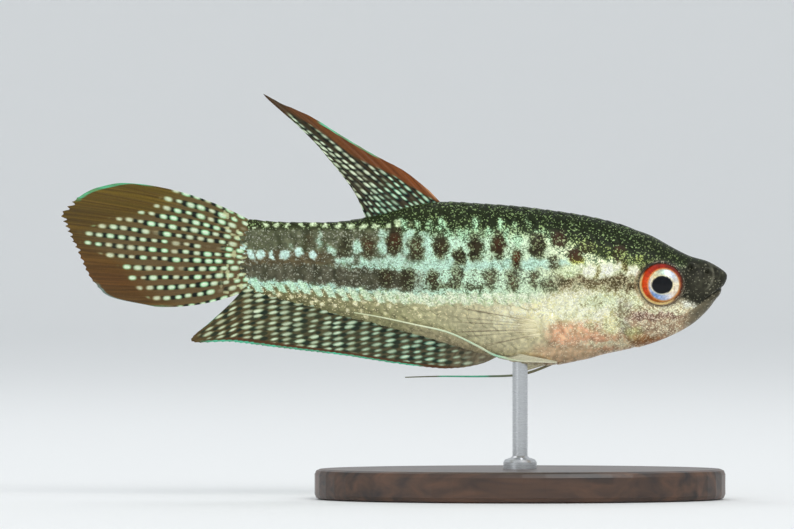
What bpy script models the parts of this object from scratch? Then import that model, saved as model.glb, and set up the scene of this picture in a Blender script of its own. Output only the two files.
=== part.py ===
"""A sparkling gourami at life size, as a still model on a plain display stand.

The fish faces +X, +Z is up, and the origin is the middle of the stand's underside. Its outlines are seen
from the side, as (s, h) pairs in shares of the standard length: s runs back from the tip of the snout, and
h is the height above the snout's level. Other lengths are in millimetres, with the fish's left at +Y.
"""

import math

import bmesh
import bpy
import numpy as np
from mathutils import Vector

MM = 0.001
STANDARD_LENGTH = 32.0  # tip of the snout to the end of the tail stalk
GAP = 0.3  # between neighbours that touch
SNOUT_X = 13.6
SNOUT_Z = 14.8

# Body: outlines, half width, and how full its sections are
TOP = [
    (0.0, -0.004), (0.016, 0.013), (0.042, 0.027), (0.081, 0.039), (0.107, 0.052), (0.160, 0.081),
    (0.212, 0.101), (0.277, 0.118), (0.357, 0.131), (0.430, 0.140), (0.514, 0.146), (0.585, 0.149),
    (0.635, 0.143), (0.727, 0.120), (0.790, 0.109), (0.873, 0.107), (0.950, 0.110), (1.0, 0.117),
]
BOTTOM = [
    (0.0, -0.004), (0.010, -0.029), (0.042, -0.076), (0.068, -0.100), (0.107, -0.123), (0.160, -0.144),
    (0.212, -0.156), (0.250, -0.164), (0.316, -0.182), (0.374, -0.188), (0.425, -0.184), (0.466, -0.174),
    (0.548, -0.152), (0.630, -0.128), (0.795, -0.086), (0.953, -0.045), (1.0, -0.034),
]
HALF_WIDTH = [
    (0.0, 0.0), (0.010, 0.021), (0.030, 0.036), (0.060, 0.047), (0.100, 0.057), (0.160, 0.067),
    (0.220, 0.075), (0.280, 0.080), (0.360, 0.081), (0.460, 0.075), (0.600, 0.061), (0.750, 0.043),
    (0.880, 0.028), (1.0, 0.017),
]
WIDEST_SHARE = 0.52  # of the way up from the belly
UPPER_FULLNESS = 0.80  # power of the sine across a section, and under 1 is fuller than an ellipse
LOWER_FULLNESS = [(0.0, 0.80), (0.40, 0.78), (0.52, 1.0), (0.80, 1.06), (1.0, 1.0)]
BODY_STATIONS = 38
BODY_SIDES = 36

# Cuts behind the head and ahead of the tail stalk
CUT_CENTRE = (0.240, -0.0575)
CUT_REACH = 0.111
CUT_RISE = 0.189
CUT_DROP = 0.119
CUT_STEPS = 13
STALK_START = 0.815
BEYOND = 0.40  # a share past any part of the body

# Eyes
EYE_AT = (0.1355, -0.0190)
EYE_RADII = (1.50, 0.95, 1.42)
EYE_Y = 1.48
RIM_OUTSIDE_EYE = 0.28
RIM_RADIUS = 0.20
RIM_STEPS = 24

# Mouth: the slit runs back to its corner, and the lower jaw ends on a line from there to the chin
JAW_OUTLINE = [(-0.030, -0.0014), (0.0472, -0.0528), (0.0770, -0.1300), (-0.030, -0.1300)]
LIP_CORNER_S = 0.048
LIP_RISES = (GAP + 0.15, -0.15)  # upper and lower lip, above the lower edge of the slit
LIP_RADII = (0.16, 0.27)  # at the corner and at the front
LIP_STEPS = 13
NOSTRILS = [(0.0430, 0.0040, 0.17), (0.0760, 0.0120, 0.21)]  # s, h and radius
NOSTRIL_LIP = 0.08
NOSTRIL_STEPS = 10

# Gill covers: the front edge is an arc, and the rear edge the cut behind the head, by angles in degrees
GILL_CENTRE = (0.262, -0.058)
GILL_REACH = 0.047
GILL_RISE = 0.085
GILL_FRONT = (-105.0, -255.0)
GILL_REAR = (26.0, -45.0)
GILL_STEPS = 9
GILL_INNER_Y = 1.10

# Fins: (v, s, h) of the margin by the share v along the fin, and the base along the body
DORSAL_BASE = (0.589, 0.749)
DORSAL_MARGIN = [
    (0.0, 0.622, 0.177), (0.1, 0.663, 0.212), (0.2, 0.721, 0.243), (0.3, 0.789, 0.283), (0.4, 0.867, 0.330),
    (0.5, 0.952, 0.370), (0.6, 0.880, 0.303), (0.7, 0.848, 0.268), (0.85, 0.813, 0.228), (1.0, 0.774, 0.187),
]
DORSAL_RAYS = 11
DORSAL_ROWS = 8
ANAL_BASE = (0.472, 0.988)
ANAL_MARGIN = [
    (0.0, 0.489, -0.190), (0.12, 0.565, -0.194), (0.22, 0.641, -0.189), (0.4, 0.784, -0.168),
    (0.6, 0.918, -0.152), (0.75, 1.016, -0.140), (0.88, 1.101, -0.1335), (0.95, 1.062, -0.099),
    (1.0, 1.023, -0.064),
]
ANAL_RAYS = 24
ANAL_ROWS = 5
TAIL_MARGIN = [
    (0.0, 1.216, 0.184), (0.08, 1.285, 0.179), (0.16, 1.324, 0.164), (0.25, 1.353, 0.144),
    (0.33, 1.373, 0.123), (0.42, 1.363, 0.099), (0.52, 1.349, 0.072), (0.62, 1.333, 0.043),
    (0.72, 1.314, 0.012), (0.82, 1.290, -0.0185), (0.91, 1.253, -0.047), (1.0, 1.175, -0.068),
]
TAIL_RAYS = 14
TAIL_ROWS = 9
TAIL_ROOT_INSET = 0.012  # share of the standard length above and below the fin's root
TAIL_BOW = 0.012  # share by which the outermost rays bow away from the middle
TAIL_SWAY = 0.8  # the tail fin's tip stands this far to the fish's left
PECTORAL_ROOT_S = 0.396
PECTORAL_ROOT_H = (-0.088, -0.132)
PECTORAL_MARGIN = [
    (0.0, 0.565, -0.055), (0.25, 0.596, -0.078), (0.5, 0.598, -0.107), (0.75, 0.569, -0.136), (1.0, 0.487, -0.160),
]
PECTORAL_RAYS = 9
PECTORAL_ROWS = 5
PECTORAL_SPREAD = 15.0  # degrees away from the flank
LOBE_AT = (0.366, -0.110)  # fleshy base of each pectoral fin
LOBE_RADII = (0.60, 0.75, 0.95)
PELVIC_RAYS = 4
PELVIC_ROWS = 5
RIGHT_PELVIC_ROOT = [(0.0, 0.364, -0.166), (1.0, 0.358, -0.182)]
RIGHT_PELVIC_MARGIN = [(0.0, 0.428, -0.153), (0.5, 0.446, -0.162), (1.0, 0.462, -0.1715)]
RIGHT_FILAMENT = [
    (0.362, -0.181), (0.425, -0.177), (0.459, -0.171), (0.4825, -0.164), (0.517, -0.145), (0.574, -0.119),
    (0.641, -0.1035), (0.7125, -0.088), (0.766, -0.079),
]
LEFT_PELVIC_ROOT = [(0.0, 0.364, -0.168), (1.0, 0.358, -0.184)]
LEFT_PELVIC_MARGIN = [(0.0, 0.424, -0.184), (0.5, 0.440, -0.197), (1.0, 0.448, -0.2105)]
LEFT_FILAMENT = [
    (0.364, -0.184), (0.395, -0.200), (0.435, -0.209), (0.507, -0.2115), (0.589, -0.2115), (0.661, -0.2136),
]
LEFT_PELVIC_Y = (1.7, 2.6)  # at the root and at the end of the filament
FILAMENT_RADII = (0.27, 0.13)
FILAMENT_STEPS = 20

MEMBRANE_HALF = 0.25
MARGIN_HALF = 0.16
THINS_FROM = 0.60  # share of a ray's length where the fin starts to thin
RAY_RIDGE = 0.08
RAY_HALF_WIDTH = 0.11
RAY_MOST_SHARE = 0.35  # of the space between two rays
SCALLOP = 0.025  # the membrane ends this share of a ray short of the ray's tip

# Stand
BASE_RADII = (13.5, 7.5)
BASE_THICKNESS = 2.0
BASE_SIDES = 56
BASE_BEVEL = 0.35
ROD_AT = 0.425
ROD_RADIUS = 0.5
ROD_SIDES = 20
FOOT_RADIUS = 1.1
FOOT_HEIGHT = 0.7


def through(points):
    """A smooth curve through (position, value, ...) points, as a function of the position."""
    table = np.array(points, float)
    at, values = table[:, 0], table[:, 1:]
    slopes = np.gradient(values, at, axis=0)

    def curve(position):
        wanted = np.clip(np.atleast_1d(np.asarray(position, float)), at[0], at[-1])
        i = np.clip(np.searchsorted(at, wanted, side="right") - 1, 0, len(at) - 2)
        step = (at[i + 1] - at[i])[:, None]
        x = (wanted - at[i])[:, None] / step
        rise = x * x * (3 - 2 * x)
        leaving = x * (1 - x) ** 2 * step
        arriving = x * x * (x - 1) * step
        found = values[i] * (1 - rise) + values[i + 1] * rise + slopes[i] * leaving + slopes[i + 1] * arriving
        return found if found.shape[1] > 1 else found[:, 0]

    return curve


def over_root(points):
    """A curve along the square root of s, so that the blunt snout comes out round."""
    curve = through([(math.sqrt(s), value) for s, value in points])
    return lambda s: curve(np.sqrt(np.maximum(s, 0.0)))


top_of = over_root(TOP)
bottom_of = over_root(BOTTOM)
half_width_of = over_root(HALF_WIDTH)
lower_fullness_of = through(LOWER_FULLNESS)


def section(s, angle):
    """(y, h) of the skin as shares, at an angle from 0 on the back to pi on the belly."""
    top, bottom, half = top_of(s), bottom_of(s), half_width_of(s)
    middle = bottom + WIDEST_SHARE * (top - bottom)
    along = np.cos(angle)
    h = middle + np.where(along > 0, top - middle, middle - bottom) * along
    fullness = np.where(along > 0, UPPER_FULLNESS, lower_fullness_of(s))
    return half * np.maximum(np.sin(angle), 0.0) ** fullness, h


def beside(s, h, clear):
    """The distance y in millimetres that keeps a point at (s, h) this clear of the body, in its section."""
    y, level = section(np.full(361, s), np.linspace(0.0, math.pi, 361))
    drop = (level - h) * STANDARD_LENGTH
    near = np.abs(drop) <= clear
    reach = y[near] * STANDARD_LENGTH + np.sqrt(clear**2 - drop[near] ** 2)
    level_with = np.interp(-h, -level, y * STANDARD_LENGTH) + clear if bottom_of(s)[0] < h < top_of(s)[0] else 0.0
    return float(max([level_with, *reach]))


def placed(s, y, h):
    """A point in metres from the shares s and h and the distance y in millimetres."""
    return Vector((SNOUT_X - s * STANDARD_LENGTH, y, SNOUT_Z + h * STANDARD_LENGTH)) * MM


def material(name, colour, roughness, metallic=0.0):
    made = bpy.data.materials.new(name)
    made.use_nodes = True
    shader = made.node_tree.nodes["Principled BSDF"]
    shader.inputs["Base Color"].default_value = (*colour, 1.0)
    shader.inputs["Roughness"].default_value = roughness
    shader.inputs["Metallic"].default_value = metallic
    return made


def new_collection(name):
    made = bpy.data.collections.new(name)
    bpy.context.scene.collection.children.link(made)
    return made


def linked(name, mesh, collection):
    made = bpy.data.objects.new(name, mesh)
    collection.objects.link(made)
    return made


def closed_mesh(name, points, faces, collection):
    """An object from a closed mesh, with its faces turned out."""
    mesh = bpy.data.meshes.new(name)
    mesh.from_pydata(points, [], faces)
    work = bmesh.new()
    work.from_mesh(mesh)
    bmesh.ops.recalc_face_normals(work, faces=work.faces)
    work.to_mesh(mesh)
    work.free()
    return linked(name, mesh, collection)


def evaluated_mesh(obj):
    bpy.context.view_layer.update()
    graph = bpy.context.evaluated_depsgraph_get()
    return bpy.data.meshes.new_from_object(obj.evaluated_get(graph))


def settled(obj):
    """The object with its modifiers applied."""
    mesh = evaluated_mesh(obj)
    obj.modifiers.clear()
    obj.data = mesh
    return obj


def from_curve(curve_object):
    """A mesh object in place of a curve object, with its caps welded on."""
    name, collection = curve_object.name, curve_object.users_collection[0]
    mesh = evaluated_mesh(curve_object)
    mesh.transform(curve_object.matrix_world)
    bpy.data.objects.remove(curve_object)
    work = bmesh.new()
    work.from_mesh(mesh)
    bmesh.ops.remove_doubles(work, verts=work.verts, dist=1e-6)
    bmesh.ops.recalc_face_normals(work, faces=work.faces)
    work.to_mesh(mesh)
    work.free()
    return linked(name, mesh, collection)


def copy_of(obj, name, collection):
    return linked(name, obj.data.copy(), collection)


def cut(obj, tools, operation="DIFFERENCE"):
    """The object cut by each tool in turn."""
    for tool in tools:
        step = obj.modifiers.new(tool.name, "BOOLEAN")
        step.operation = operation
        step.object = tool
    return settled(obj)


def joined(obj, pieces):
    """The object united with closed pieces, which are then removed."""
    group = bpy.data.collections.new(obj.name + "_pieces")
    for piece in pieces:
        group.objects.link(piece)
    step = obj.modifiers.new("union", "BOOLEAN")
    step.operation = "UNION"
    step.operand_type = "COLLECTION"
    step.collection = group
    settled(obj)
    for piece in pieces:
        bpy.data.objects.remove(piece)
    bpy.data.collections.remove(group)
    return obj


def keep_largest(obj):
    """Drops all but the largest closed surface of the object."""
    work = bmesh.new()
    work.from_mesh(obj.data)
    left = set(work.verts)
    surfaces = []
    while left:
        found = [left.pop()]
        for vertex in found:
            fresh = {edge.other_vert(vertex) for edge in vertex.link_edges} & left
            left -= fresh
            found.extend(fresh)
        surfaces.append(found)
    surfaces.sort(key=len)
    for scrap in surfaces[:-1]:
        bmesh.ops.delete(work, geom=scrap, context="VERTS")
    work.to_mesh(obj.data)
    work.free()
    return obj


def body_mesh(name, collection):
    """The body from snout to tail stalk, lofted through its sections."""
    turns = np.linspace(0.0, 2 * math.pi, BODY_SIDES, endpoint=False)
    sides = np.where(turns <= math.pi, 1.0, -1.0)
    points = [placed(0.0, 0.0, TOP[0][1])]
    for root in np.linspace(0.0, 1.0, BODY_STATIONS + 1)[1:]:
        s = root**2
        y, h = section(np.full(BODY_SIDES, s), np.minimum(turns, 2 * math.pi - turns))
        points += [placed(s, y_share * STANDARD_LENGTH, level) for y_share, level in zip(y * sides, h)]
    faces = [(0, 1 + i, 1 + (i + 1) % BODY_SIDES) for i in range(BODY_SIDES)]
    for station in range(BODY_STATIONS - 1):
        near = 1 + station * BODY_SIDES
        far = near + BODY_SIDES
        for i in range(BODY_SIDES):
            j = (i + 1) % BODY_SIDES
            faces.append((near + i, near + j, far + j, far + i))
    last = 1 + (BODY_STATIONS - 1) * BODY_SIDES
    faces.append([last + i for i in range(BODY_SIDES)])
    return closed_mesh(name, points, faces, collection)


def prism(name, outline, low_y, high_y, collection):
    """A closed outline of (s, h) points, as thick across the fish as from low_y to high_y."""
    curve = bpy.data.curves.new(name, "CURVE")
    curve.dimensions = "2D"
    curve.fill_mode = "BOTH"
    curve.extrude = (high_y - low_y) / 2 * MM
    spline = curve.splines.new("POLY")
    spline.points.add(len(outline) - 1)
    for point, (s, h) in zip(spline.points, outline):
        x, _, z = placed(s, 0.0, h)
        point.co = (x, z, 0.0, 1.0)
    spline.use_cyclic_u = True
    flat = linked(name, curve, collection)
    flat.rotation_euler.x = math.pi / 2
    flat.location.y = (low_y + high_y) / 2 * MM
    return from_curve(flat)


def tube(name, path, radii, cyclic, collection):
    """A round tube along points in metres, with a radius in millimetres at each."""
    curve = bpy.data.curves.new(name, "CURVE")
    curve.dimensions = "3D"
    curve.bevel_depth = MM
    curve.bevel_resolution = 1
    curve.use_fill_caps = True
    spline = curve.splines.new("POLY")
    spline.points.add(len(path) - 1)
    for point, place, radius in zip(spline.points, path, radii):
        point.co = (*place, 1.0)
        point.radius = radius
    spline.use_cyclic_u = cyclic
    return from_curve(linked(name, curve, collection))


def ellipsoid(name, centre, radii, segments, rings, collection):
    """A closed ellipsoid with its poles across the fish."""
    mesh = bpy.data.meshes.new(name)
    work = bmesh.new()
    bmesh.ops.create_uvsphere(work, u_segments=segments, v_segments=rings, radius=MM)
    for vertex in work.verts:
        x, z, y = vertex.co
        vertex.co = centre + Vector((x * radii[0], -y * radii[1], z * radii[2]))
    work.to_mesh(mesh)
    work.free()
    return linked(name, mesh, collection)


def grown(outline, by):
    """The closed outline moved outwards by a distance in millimetres."""
    points = np.array(outline, float)
    ahead = np.roll(points, -1, axis=0) - points
    area = (points[:, 0] * ahead[:, 1] - points[:, 1] * ahead[:, 0]).sum()
    ahead /= np.linalg.norm(ahead, axis=1)[:, None]
    outwards = np.stack([ahead[:, 1], -ahead[:, 0]], axis=1) * np.sign(area)
    before = np.roll(outwards, 1, axis=0)
    corner = (outwards + before) / (1.0 + (outwards * before).sum(axis=1))[:, None]
    return [tuple(point) for point in points + corner * by / STANDARD_LENGTH]


def head_cut(start, end, by=0.0):
    """Points of the cut behind the head between two angles in degrees, moved back by a distance."""
    more = by / STANDARD_LENGTH
    points = []
    for angle in np.radians(np.linspace(start, end, CUT_STEPS)):
        rise = (CUT_RISE if angle > 0 else CUT_DROP) + more
        s = CUT_CENTRE[0] + (CUT_REACH + more) * math.cos(angle)
        points.append((s, CUT_CENTRE[1] + rise * math.sin(angle)))
    return points


def gill_outline():
    """The outline of a gill cover."""
    front = [
        (GILL_CENTRE[0] + GILL_REACH * math.cos(angle), GILL_CENTRE[1] + GILL_RISE * math.sin(angle))
        for angle in np.radians(np.linspace(*GILL_FRONT, GILL_STEPS))
    ]
    return front + head_cut(*GILL_REAR)


def ahead_of_cut(by=0.0):
    """The outline of all that lies ahead of the cut behind the head."""
    back = head_cut(90.0, -90.0, by)
    return [(-BEYOND, BEYOND), (back[0][0], BEYOND), *back, (back[-1][0], -BEYOND), (-BEYOND, -BEYOND)]


def stalk_outline(by=0.0):
    start = STALK_START - by / STANDARD_LENGTH
    return [(start, BEYOND), (1.0 + BEYOND, BEYOND), (1.0 + BEYOND, -BEYOND), (start, -BEYOND)]


def skin_normal(s, h):
    """The outward normal of the left flank at (s, h)."""
    step = 0.004
    along = placed(s + step, beside(s + step, h, 0.0), h) - placed(s - step, beside(s - step, h, 0.0), h)
    up = placed(s, beside(s, h + step, 0.0), h + step) - placed(s, beside(s, h - step, 0.0), h - step)
    normal = along.cross(up).normalized()
    return normal if normal.y > 0 else -normal


def ring(name, s, h, radius, thickness, steps, collection):
    """A raised ring on the left flank."""
    normal = skin_normal(s, h)
    across = normal.cross(Vector((0, 0, 1))).normalized()
    up = across.cross(normal)
    centre = placed(s, beside(s, h, 0.0), h)
    turns = [2 * math.pi * i / steps for i in range(steps)]
    path = [centre + (across * math.cos(turn) + up * math.sin(turn)) * radius * MM for turn in turns]
    return tube(name, path, [thickness] * steps, True, collection)


def orbit_rim(collection):
    """The fold of skin round the left eye, lying on the head."""
    path = []
    for step in range(RIM_STEPS):
        turn = 2 * math.pi * step / RIM_STEPS
        s = EYE_AT[0] + (EYE_RADII[0] + RIM_OUTSIDE_EYE) / STANDARD_LENGTH * math.cos(turn)
        h = EYE_AT[1] + (EYE_RADII[2] + RIM_OUTSIDE_EYE) / STANDARD_LENGTH * math.sin(turn)
        path.append(placed(s, beside(s, h, 0.0), h))
    return tube("rim", path, [RIM_RADIUS] * RIM_STEPS, True, collection)


def mirrored(obj, collection):
    """A copy of the object on the fish's other side."""
    made = copy_of(obj, obj.name + "_mirrored", collection)
    work = bmesh.new()
    work.from_mesh(made.data)
    for vertex in work.verts:
        vertex.co.y = -vertex.co.y
    bmesh.ops.reverse_faces(work, faces=work.faces)
    work.to_mesh(made.data)
    work.free()
    return made


def both_sides(obj, collection):
    return [obj, mirrored(obj, collection)]


def lip(name, rise, collection):
    """A lip where the skin meets a level this far above the slit, from corner to corner round the snout."""
    (front_s, front_h), (back_s, back_h) = JAW_OUTLINE[:2]
    across = np.linspace(0.0, LIP_CORNER_S, 200)
    level = front_h + (across - front_s) * (back_h - front_h) / (back_s - front_s) + rise / STANDARD_LENGTH
    reach = np.array([beside(s, h, 0.0) for s, h in zip(across, level)])
    first = np.flatnonzero(reach > 0)[0]
    path = []
    for turn in np.linspace(-math.pi / 2, math.pi / 2, LIP_STEPS):
        y = reach[-1] * math.sin(turn)
        s = np.interp(abs(y), reach[first:], across[first:])
        path.append(placed(s, y, np.interp(s, across, level)))
    corner, front = LIP_RADII
    radii = corner + (front - corner) * np.cos(np.linspace(-math.pi / 2, math.pi / 2, LIP_STEPS))
    return tube(name, path, radii, False, collection)


def fin_columns(rays, foot):
    """(v, ridge) of each column of a fin: every ray is a crest between two feet."""
    columns = []
    for v in np.linspace(0.0, 1.0, rays):
        columns += [(v - foot, 0.0), (v, 1.0), (v + foot, 0.0)]
    return columns[1:-1]


def fin_sheet(name, root, margin, lateral, base_length, rays, rows, collection, bow=0.0):
    """A fin as one closed sheet, with its rays raised in both faces.

    root and margin give (s, h) by v, and lateral gives y by s and h. Both faces have the same triangles.
    """
    columns = fin_columns(rays, min(RAY_HALF_WIDTH / base_length, RAY_MOST_SHARE / (rays - 1)))
    right, left = [], []
    for v, ridge in columns:
        start, end = root(v)[0], margin(v)[0]
        length = 1.0 if ridge else 1.0 - SCALLOP
        for u in np.linspace(0.0, length, rows):
            s, h = start + (end - start) * u
            h += bow * (1 - 2 * v) * 4 * u * (1 - u)
            half = np.interp(u, (THINS_FROM, 1.0), (MEMBRANE_HALF, MARGIN_HALF)) + RAY_RIDGE * ridge * (1 - u / 2)
            y = lateral(s, h)
            right.append(placed(s, y - half, h))
            left.append(placed(s, y + half, h))
    count = len(right)
    faces = []
    for column in range(len(columns) - 1):
        for row in range(rows - 1):
            a = column * rows + row
            b, c, d = a + 1, a + rows + 1, a + rows
            faces += [(a, b, c), (a, c, d)]
            faces += [(count + a, count + c, count + b), (count + a, count + d, count + c)]
    last_column = (len(columns) - 1) * rows
    edge = [row for row in range(rows)]
    edge += [column * rows + rows - 1 for column in range(1, len(columns))]
    edge += [last_column + row for row in range(rows - 2, -1, -1)]
    edge += [column * rows for column in range(len(columns) - 2, 0, -1)]
    for a, b in zip(edge, edge[1:] + edge[:1]):
        faces += [(b, a, count + a), (b, count + a, count + b)]
    return closed_mesh(name, right + left, faces, collection)


def along_body(base, edge, side):
    """The root of a fin on the back or belly, a gap off the body: (s, h) by v."""
    step = 0.002

    def root(v):
        s = base[0] + (base[1] - base[0]) * np.atleast_1d(v)
        slope = (edge(s + step) - edge(s - step)) / (2 * step)
        return np.stack([s, edge(s) + side * GAP / STANDARD_LENGTH * np.sqrt(1 + slope**2)], axis=1)

    return root


def straight(start, end):
    """(s, h) by v along a straight root."""
    return lambda v: np.array(start) + np.atleast_1d(v)[:, None] * (np.array(end) - np.array(start))


def dorsal_fin(collection):
    root = along_body(DORSAL_BASE, top_of, 1.0)
    length = (DORSAL_BASE[1] - DORSAL_BASE[0]) * STANDARD_LENGTH
    return fin_sheet(
        "dorsal_fin", root, through(DORSAL_MARGIN), lambda s, h: 0.0, length, DORSAL_RAYS, DORSAL_ROWS, collection
    )


def anal_fin(collection):
    root = along_body(ANAL_BASE, bottom_of, -1.0)
    length = (ANAL_BASE[1] - ANAL_BASE[0]) * STANDARD_LENGTH
    return fin_sheet(
        "anal_fin", root, through(ANAL_MARGIN), lambda s, h: 0.0, length, ANAL_RAYS, ANAL_ROWS, collection
    )


def tail_fin(collection):
    start = 1.0 + GAP / STANDARD_LENGTH
    high, low = TOP[-1][1] - TAIL_ROOT_INSET, BOTTOM[-1][1] + TAIL_ROOT_INSET
    reach = max(s for _, s, _ in TAIL_MARGIN) - start

    def lateral(s, _h):
        return TAIL_SWAY * ((s - start) / reach) ** 2

    return fin_sheet(
        "caudal_fin", straight((start, high), (start, low)), through(TAIL_MARGIN), lateral,
        (high - low) * STANDARD_LENGTH, TAIL_RAYS, TAIL_ROWS, collection, TAIL_BOW,
    )


def pectoral_fin(collection):
    """The left pectoral fin: it starts behind its lobe and swings out from the flank."""
    high, low = PECTORAL_ROOT_H
    clear = GAP + MEMBRANE_HALF + RAY_RIDGE
    high_y, low_y = (beside(PECTORAL_ROOT_S, h, clear) for h in (high, low))
    outwards = math.tan(math.radians(PECTORAL_SPREAD)) * STANDARD_LENGTH

    def lateral(s, h):
        return low_y + (high_y - low_y) * (h - low) / (high - low) + (s - PECTORAL_ROOT_S) * outwards

    return fin_sheet(
        "pectoral_fin_left", straight((PECTORAL_ROOT_S, high), (PECTORAL_ROOT_S, low)), through(PECTORAL_MARGIN),
        lateral, (high - low) * STANDARD_LENGTH, PECTORAL_RAYS, PECTORAL_ROWS, collection,
    )


def pelvic_fin(name, side, root, margin, filament, least_y, collection):
    """A pelvic fin: a small folded fan, and the long ray that trails from it."""
    clear = GAP + MEMBRANE_HALF + RAY_RIDGE
    first_s, last_s = root[0][1], filament[-1][0]
    length = math.dist(root[0][1:], root[1][1:]) * STANDARD_LENGTH

    def lateral(s, h):
        free = np.interp(s, (first_s, last_s), least_y)
        return side * max(beside(s, h, clear), float(free))

    fan = fin_sheet(
        name, straight(root[0][1:], root[1][1:]), through(margin), lateral, length, PELVIC_RAYS, PELVIC_ROWS,
        collection,
    )
    trail = through([(i / (len(filament) - 1), *point) for i, point in enumerate(filament)])
    shares = np.linspace(0.0, 1.0, FILAMENT_STEPS)
    path = [placed(s, lateral(s, h), h) for s, h in trail(shares)]
    radii = np.interp(shares, (0.3, 1.0), FILAMENT_RADII)
    return joined(fan, [tube("filament", path, radii, False, collection)])


def stand_base(collection):
    mesh = bpy.data.meshes.new("stand_base")
    work = bmesh.new()
    bmesh.ops.create_cone(
        work, cap_ends=True, segments=BASE_SIDES, radius1=1.0, radius2=1.0, depth=BASE_THICKNESS * MM
    )
    for vertex in work.verts:
        vertex.co.x *= BASE_RADII[0] * MM
        vertex.co.y *= BASE_RADII[1] * MM
        vertex.co.z += BASE_THICKNESS / 2 * MM
    work.to_mesh(mesh)
    work.free()
    base = linked("stand_base", mesh, collection)
    bevel = base.modifiers.new("rounded edge", "BEVEL")
    bevel.width = BASE_BEVEL * MM
    bevel.segments = 2
    bevel.angle_limit = math.radians(60)
    return base


def cylinder(name, radius, low, high, sides, collection):
    mesh = bpy.data.meshes.new(name)
    work = bmesh.new()
    bmesh.ops.create_cone(
        work, cap_ends=True, segments=sides, radius1=radius * MM, radius2=radius * MM, depth=(high - low) * MM
    )
    x = placed(ROD_AT, 0.0, 0.0).x
    bmesh.ops.translate(work, verts=work.verts, vec=(x, 0.0, (low + high) / 2 * MM))
    work.to_mesh(mesh)
    work.free()
    return linked(name, mesh, collection)


def stand_rod(collection):
    """The rod up to the belly, with a small foot on the base."""
    foot = BASE_THICKNESS + GAP
    belly = placed(ROD_AT, 0.0, bottom_of(ROD_AT)[0]).z / MM
    rod = cylinder("stand_rod", ROD_RADIUS, foot, belly - GAP, ROD_SIDES, collection)
    collar = cylinder("collar", FOOT_RADIUS, foot, foot + FOOT_HEIGHT, ROD_SIDES, collection)
    return joined(rod, [collar])


def flesh(parts, cutters):
    """Head, lower jaw, gill covers, trunk and tail stalk, parted from one body by thin cuts."""
    wide = BEYOND * STANDARD_LENGTH
    whole = body_mesh("body", cutters)
    details = both_sides(orbit_rim(cutters), cutters)
    details += [lip("lip", rise, cutters) for rise in LIP_RISES]
    pits = []
    for s, h, radius in NOSTRILS:
        details += both_sides(ring("nostril", s, h, radius, NOSTRIL_LIP, NOSTRIL_STEPS, cutters), cutters)
        centre = placed(s, beside(s, h, 0.0), h)
        pits += both_sides(ellipsoid("pit", centre, [radius] * 3, NOSTRIL_STEPS, 6, cutters), cutters)
    s, h = LOBE_AT
    lobe = ellipsoid("lobe", placed(s, beside(s, h, 0.0), h), LOBE_RADII, 16, 8, cutters)
    details += both_sides(lobe, cutters)
    joined(whole, details)

    gill = gill_outline()
    gill_plate = prism("gill", gill, GILL_INNER_Y, wide, cutters)
    gill_pocket = prism("gill_pocket", grown(gill, GAP), GILL_INNER_Y - GAP, wide, cutters)
    eye_pocket = ellipsoid(
        "eye_pocket", placed(EYE_AT[0], EYE_Y, EYE_AT[1]), [radius + GAP for radius in EYE_RADII], 24, 14, cutters
    )
    head = cut(copy_of(whole, "head", parts), [prism("ahead", ahead_of_cut(), -wide, wide, cutters)], "INTERSECT")
    head_hollows = [prism("jaw_room", grown(JAW_OUTLINE, GAP), -wide, wide, cutters), *pits]
    head_hollows += both_sides(gill_pocket, cutters) + both_sides(eye_pocket, cutters)
    trunk_ends = [
        prism("head_room", ahead_of_cut(GAP), -wide, wide, cutters),
        prism("stalk_room", stalk_outline(GAP), -wide, wide, cutters),
    ]
    jaw_tool = prism("jaw", JAW_OUTLINE, -wide, wide, cutters)
    stalk_tool = prism("stalk", stalk_outline(), -wide, wide, cutters)
    nodes = [
        cut(head, head_hollows),
        cut(copy_of(whole, "lower_jaw", parts), [jaw_tool], "INTERSECT"),
        cut(copy_of(whole, "trunk", parts), trunk_ends),
        cut(copy_of(whole, "tail_stalk", parts), [stalk_tool], "INTERSECT"),
    ]
    for name, plate in zip(("gill_cover_left", "gill_cover_right"), both_sides(gill_plate, cutters)):
        nodes.append(cut(copy_of(whole, name, parts), [plate], "INTERSECT"))
    return nodes


def finished(obj, look):
    """The node with only its largest surface, its material, and round faces shaded smooth."""
    settled(obj)
    keep_largest(obj)
    obj.data.materials.clear()
    obj.data.materials.append(look)
    obj.data.shade_smooth()
    obj.data.set_sharp_from_angle(angle=math.radians(40))


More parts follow.
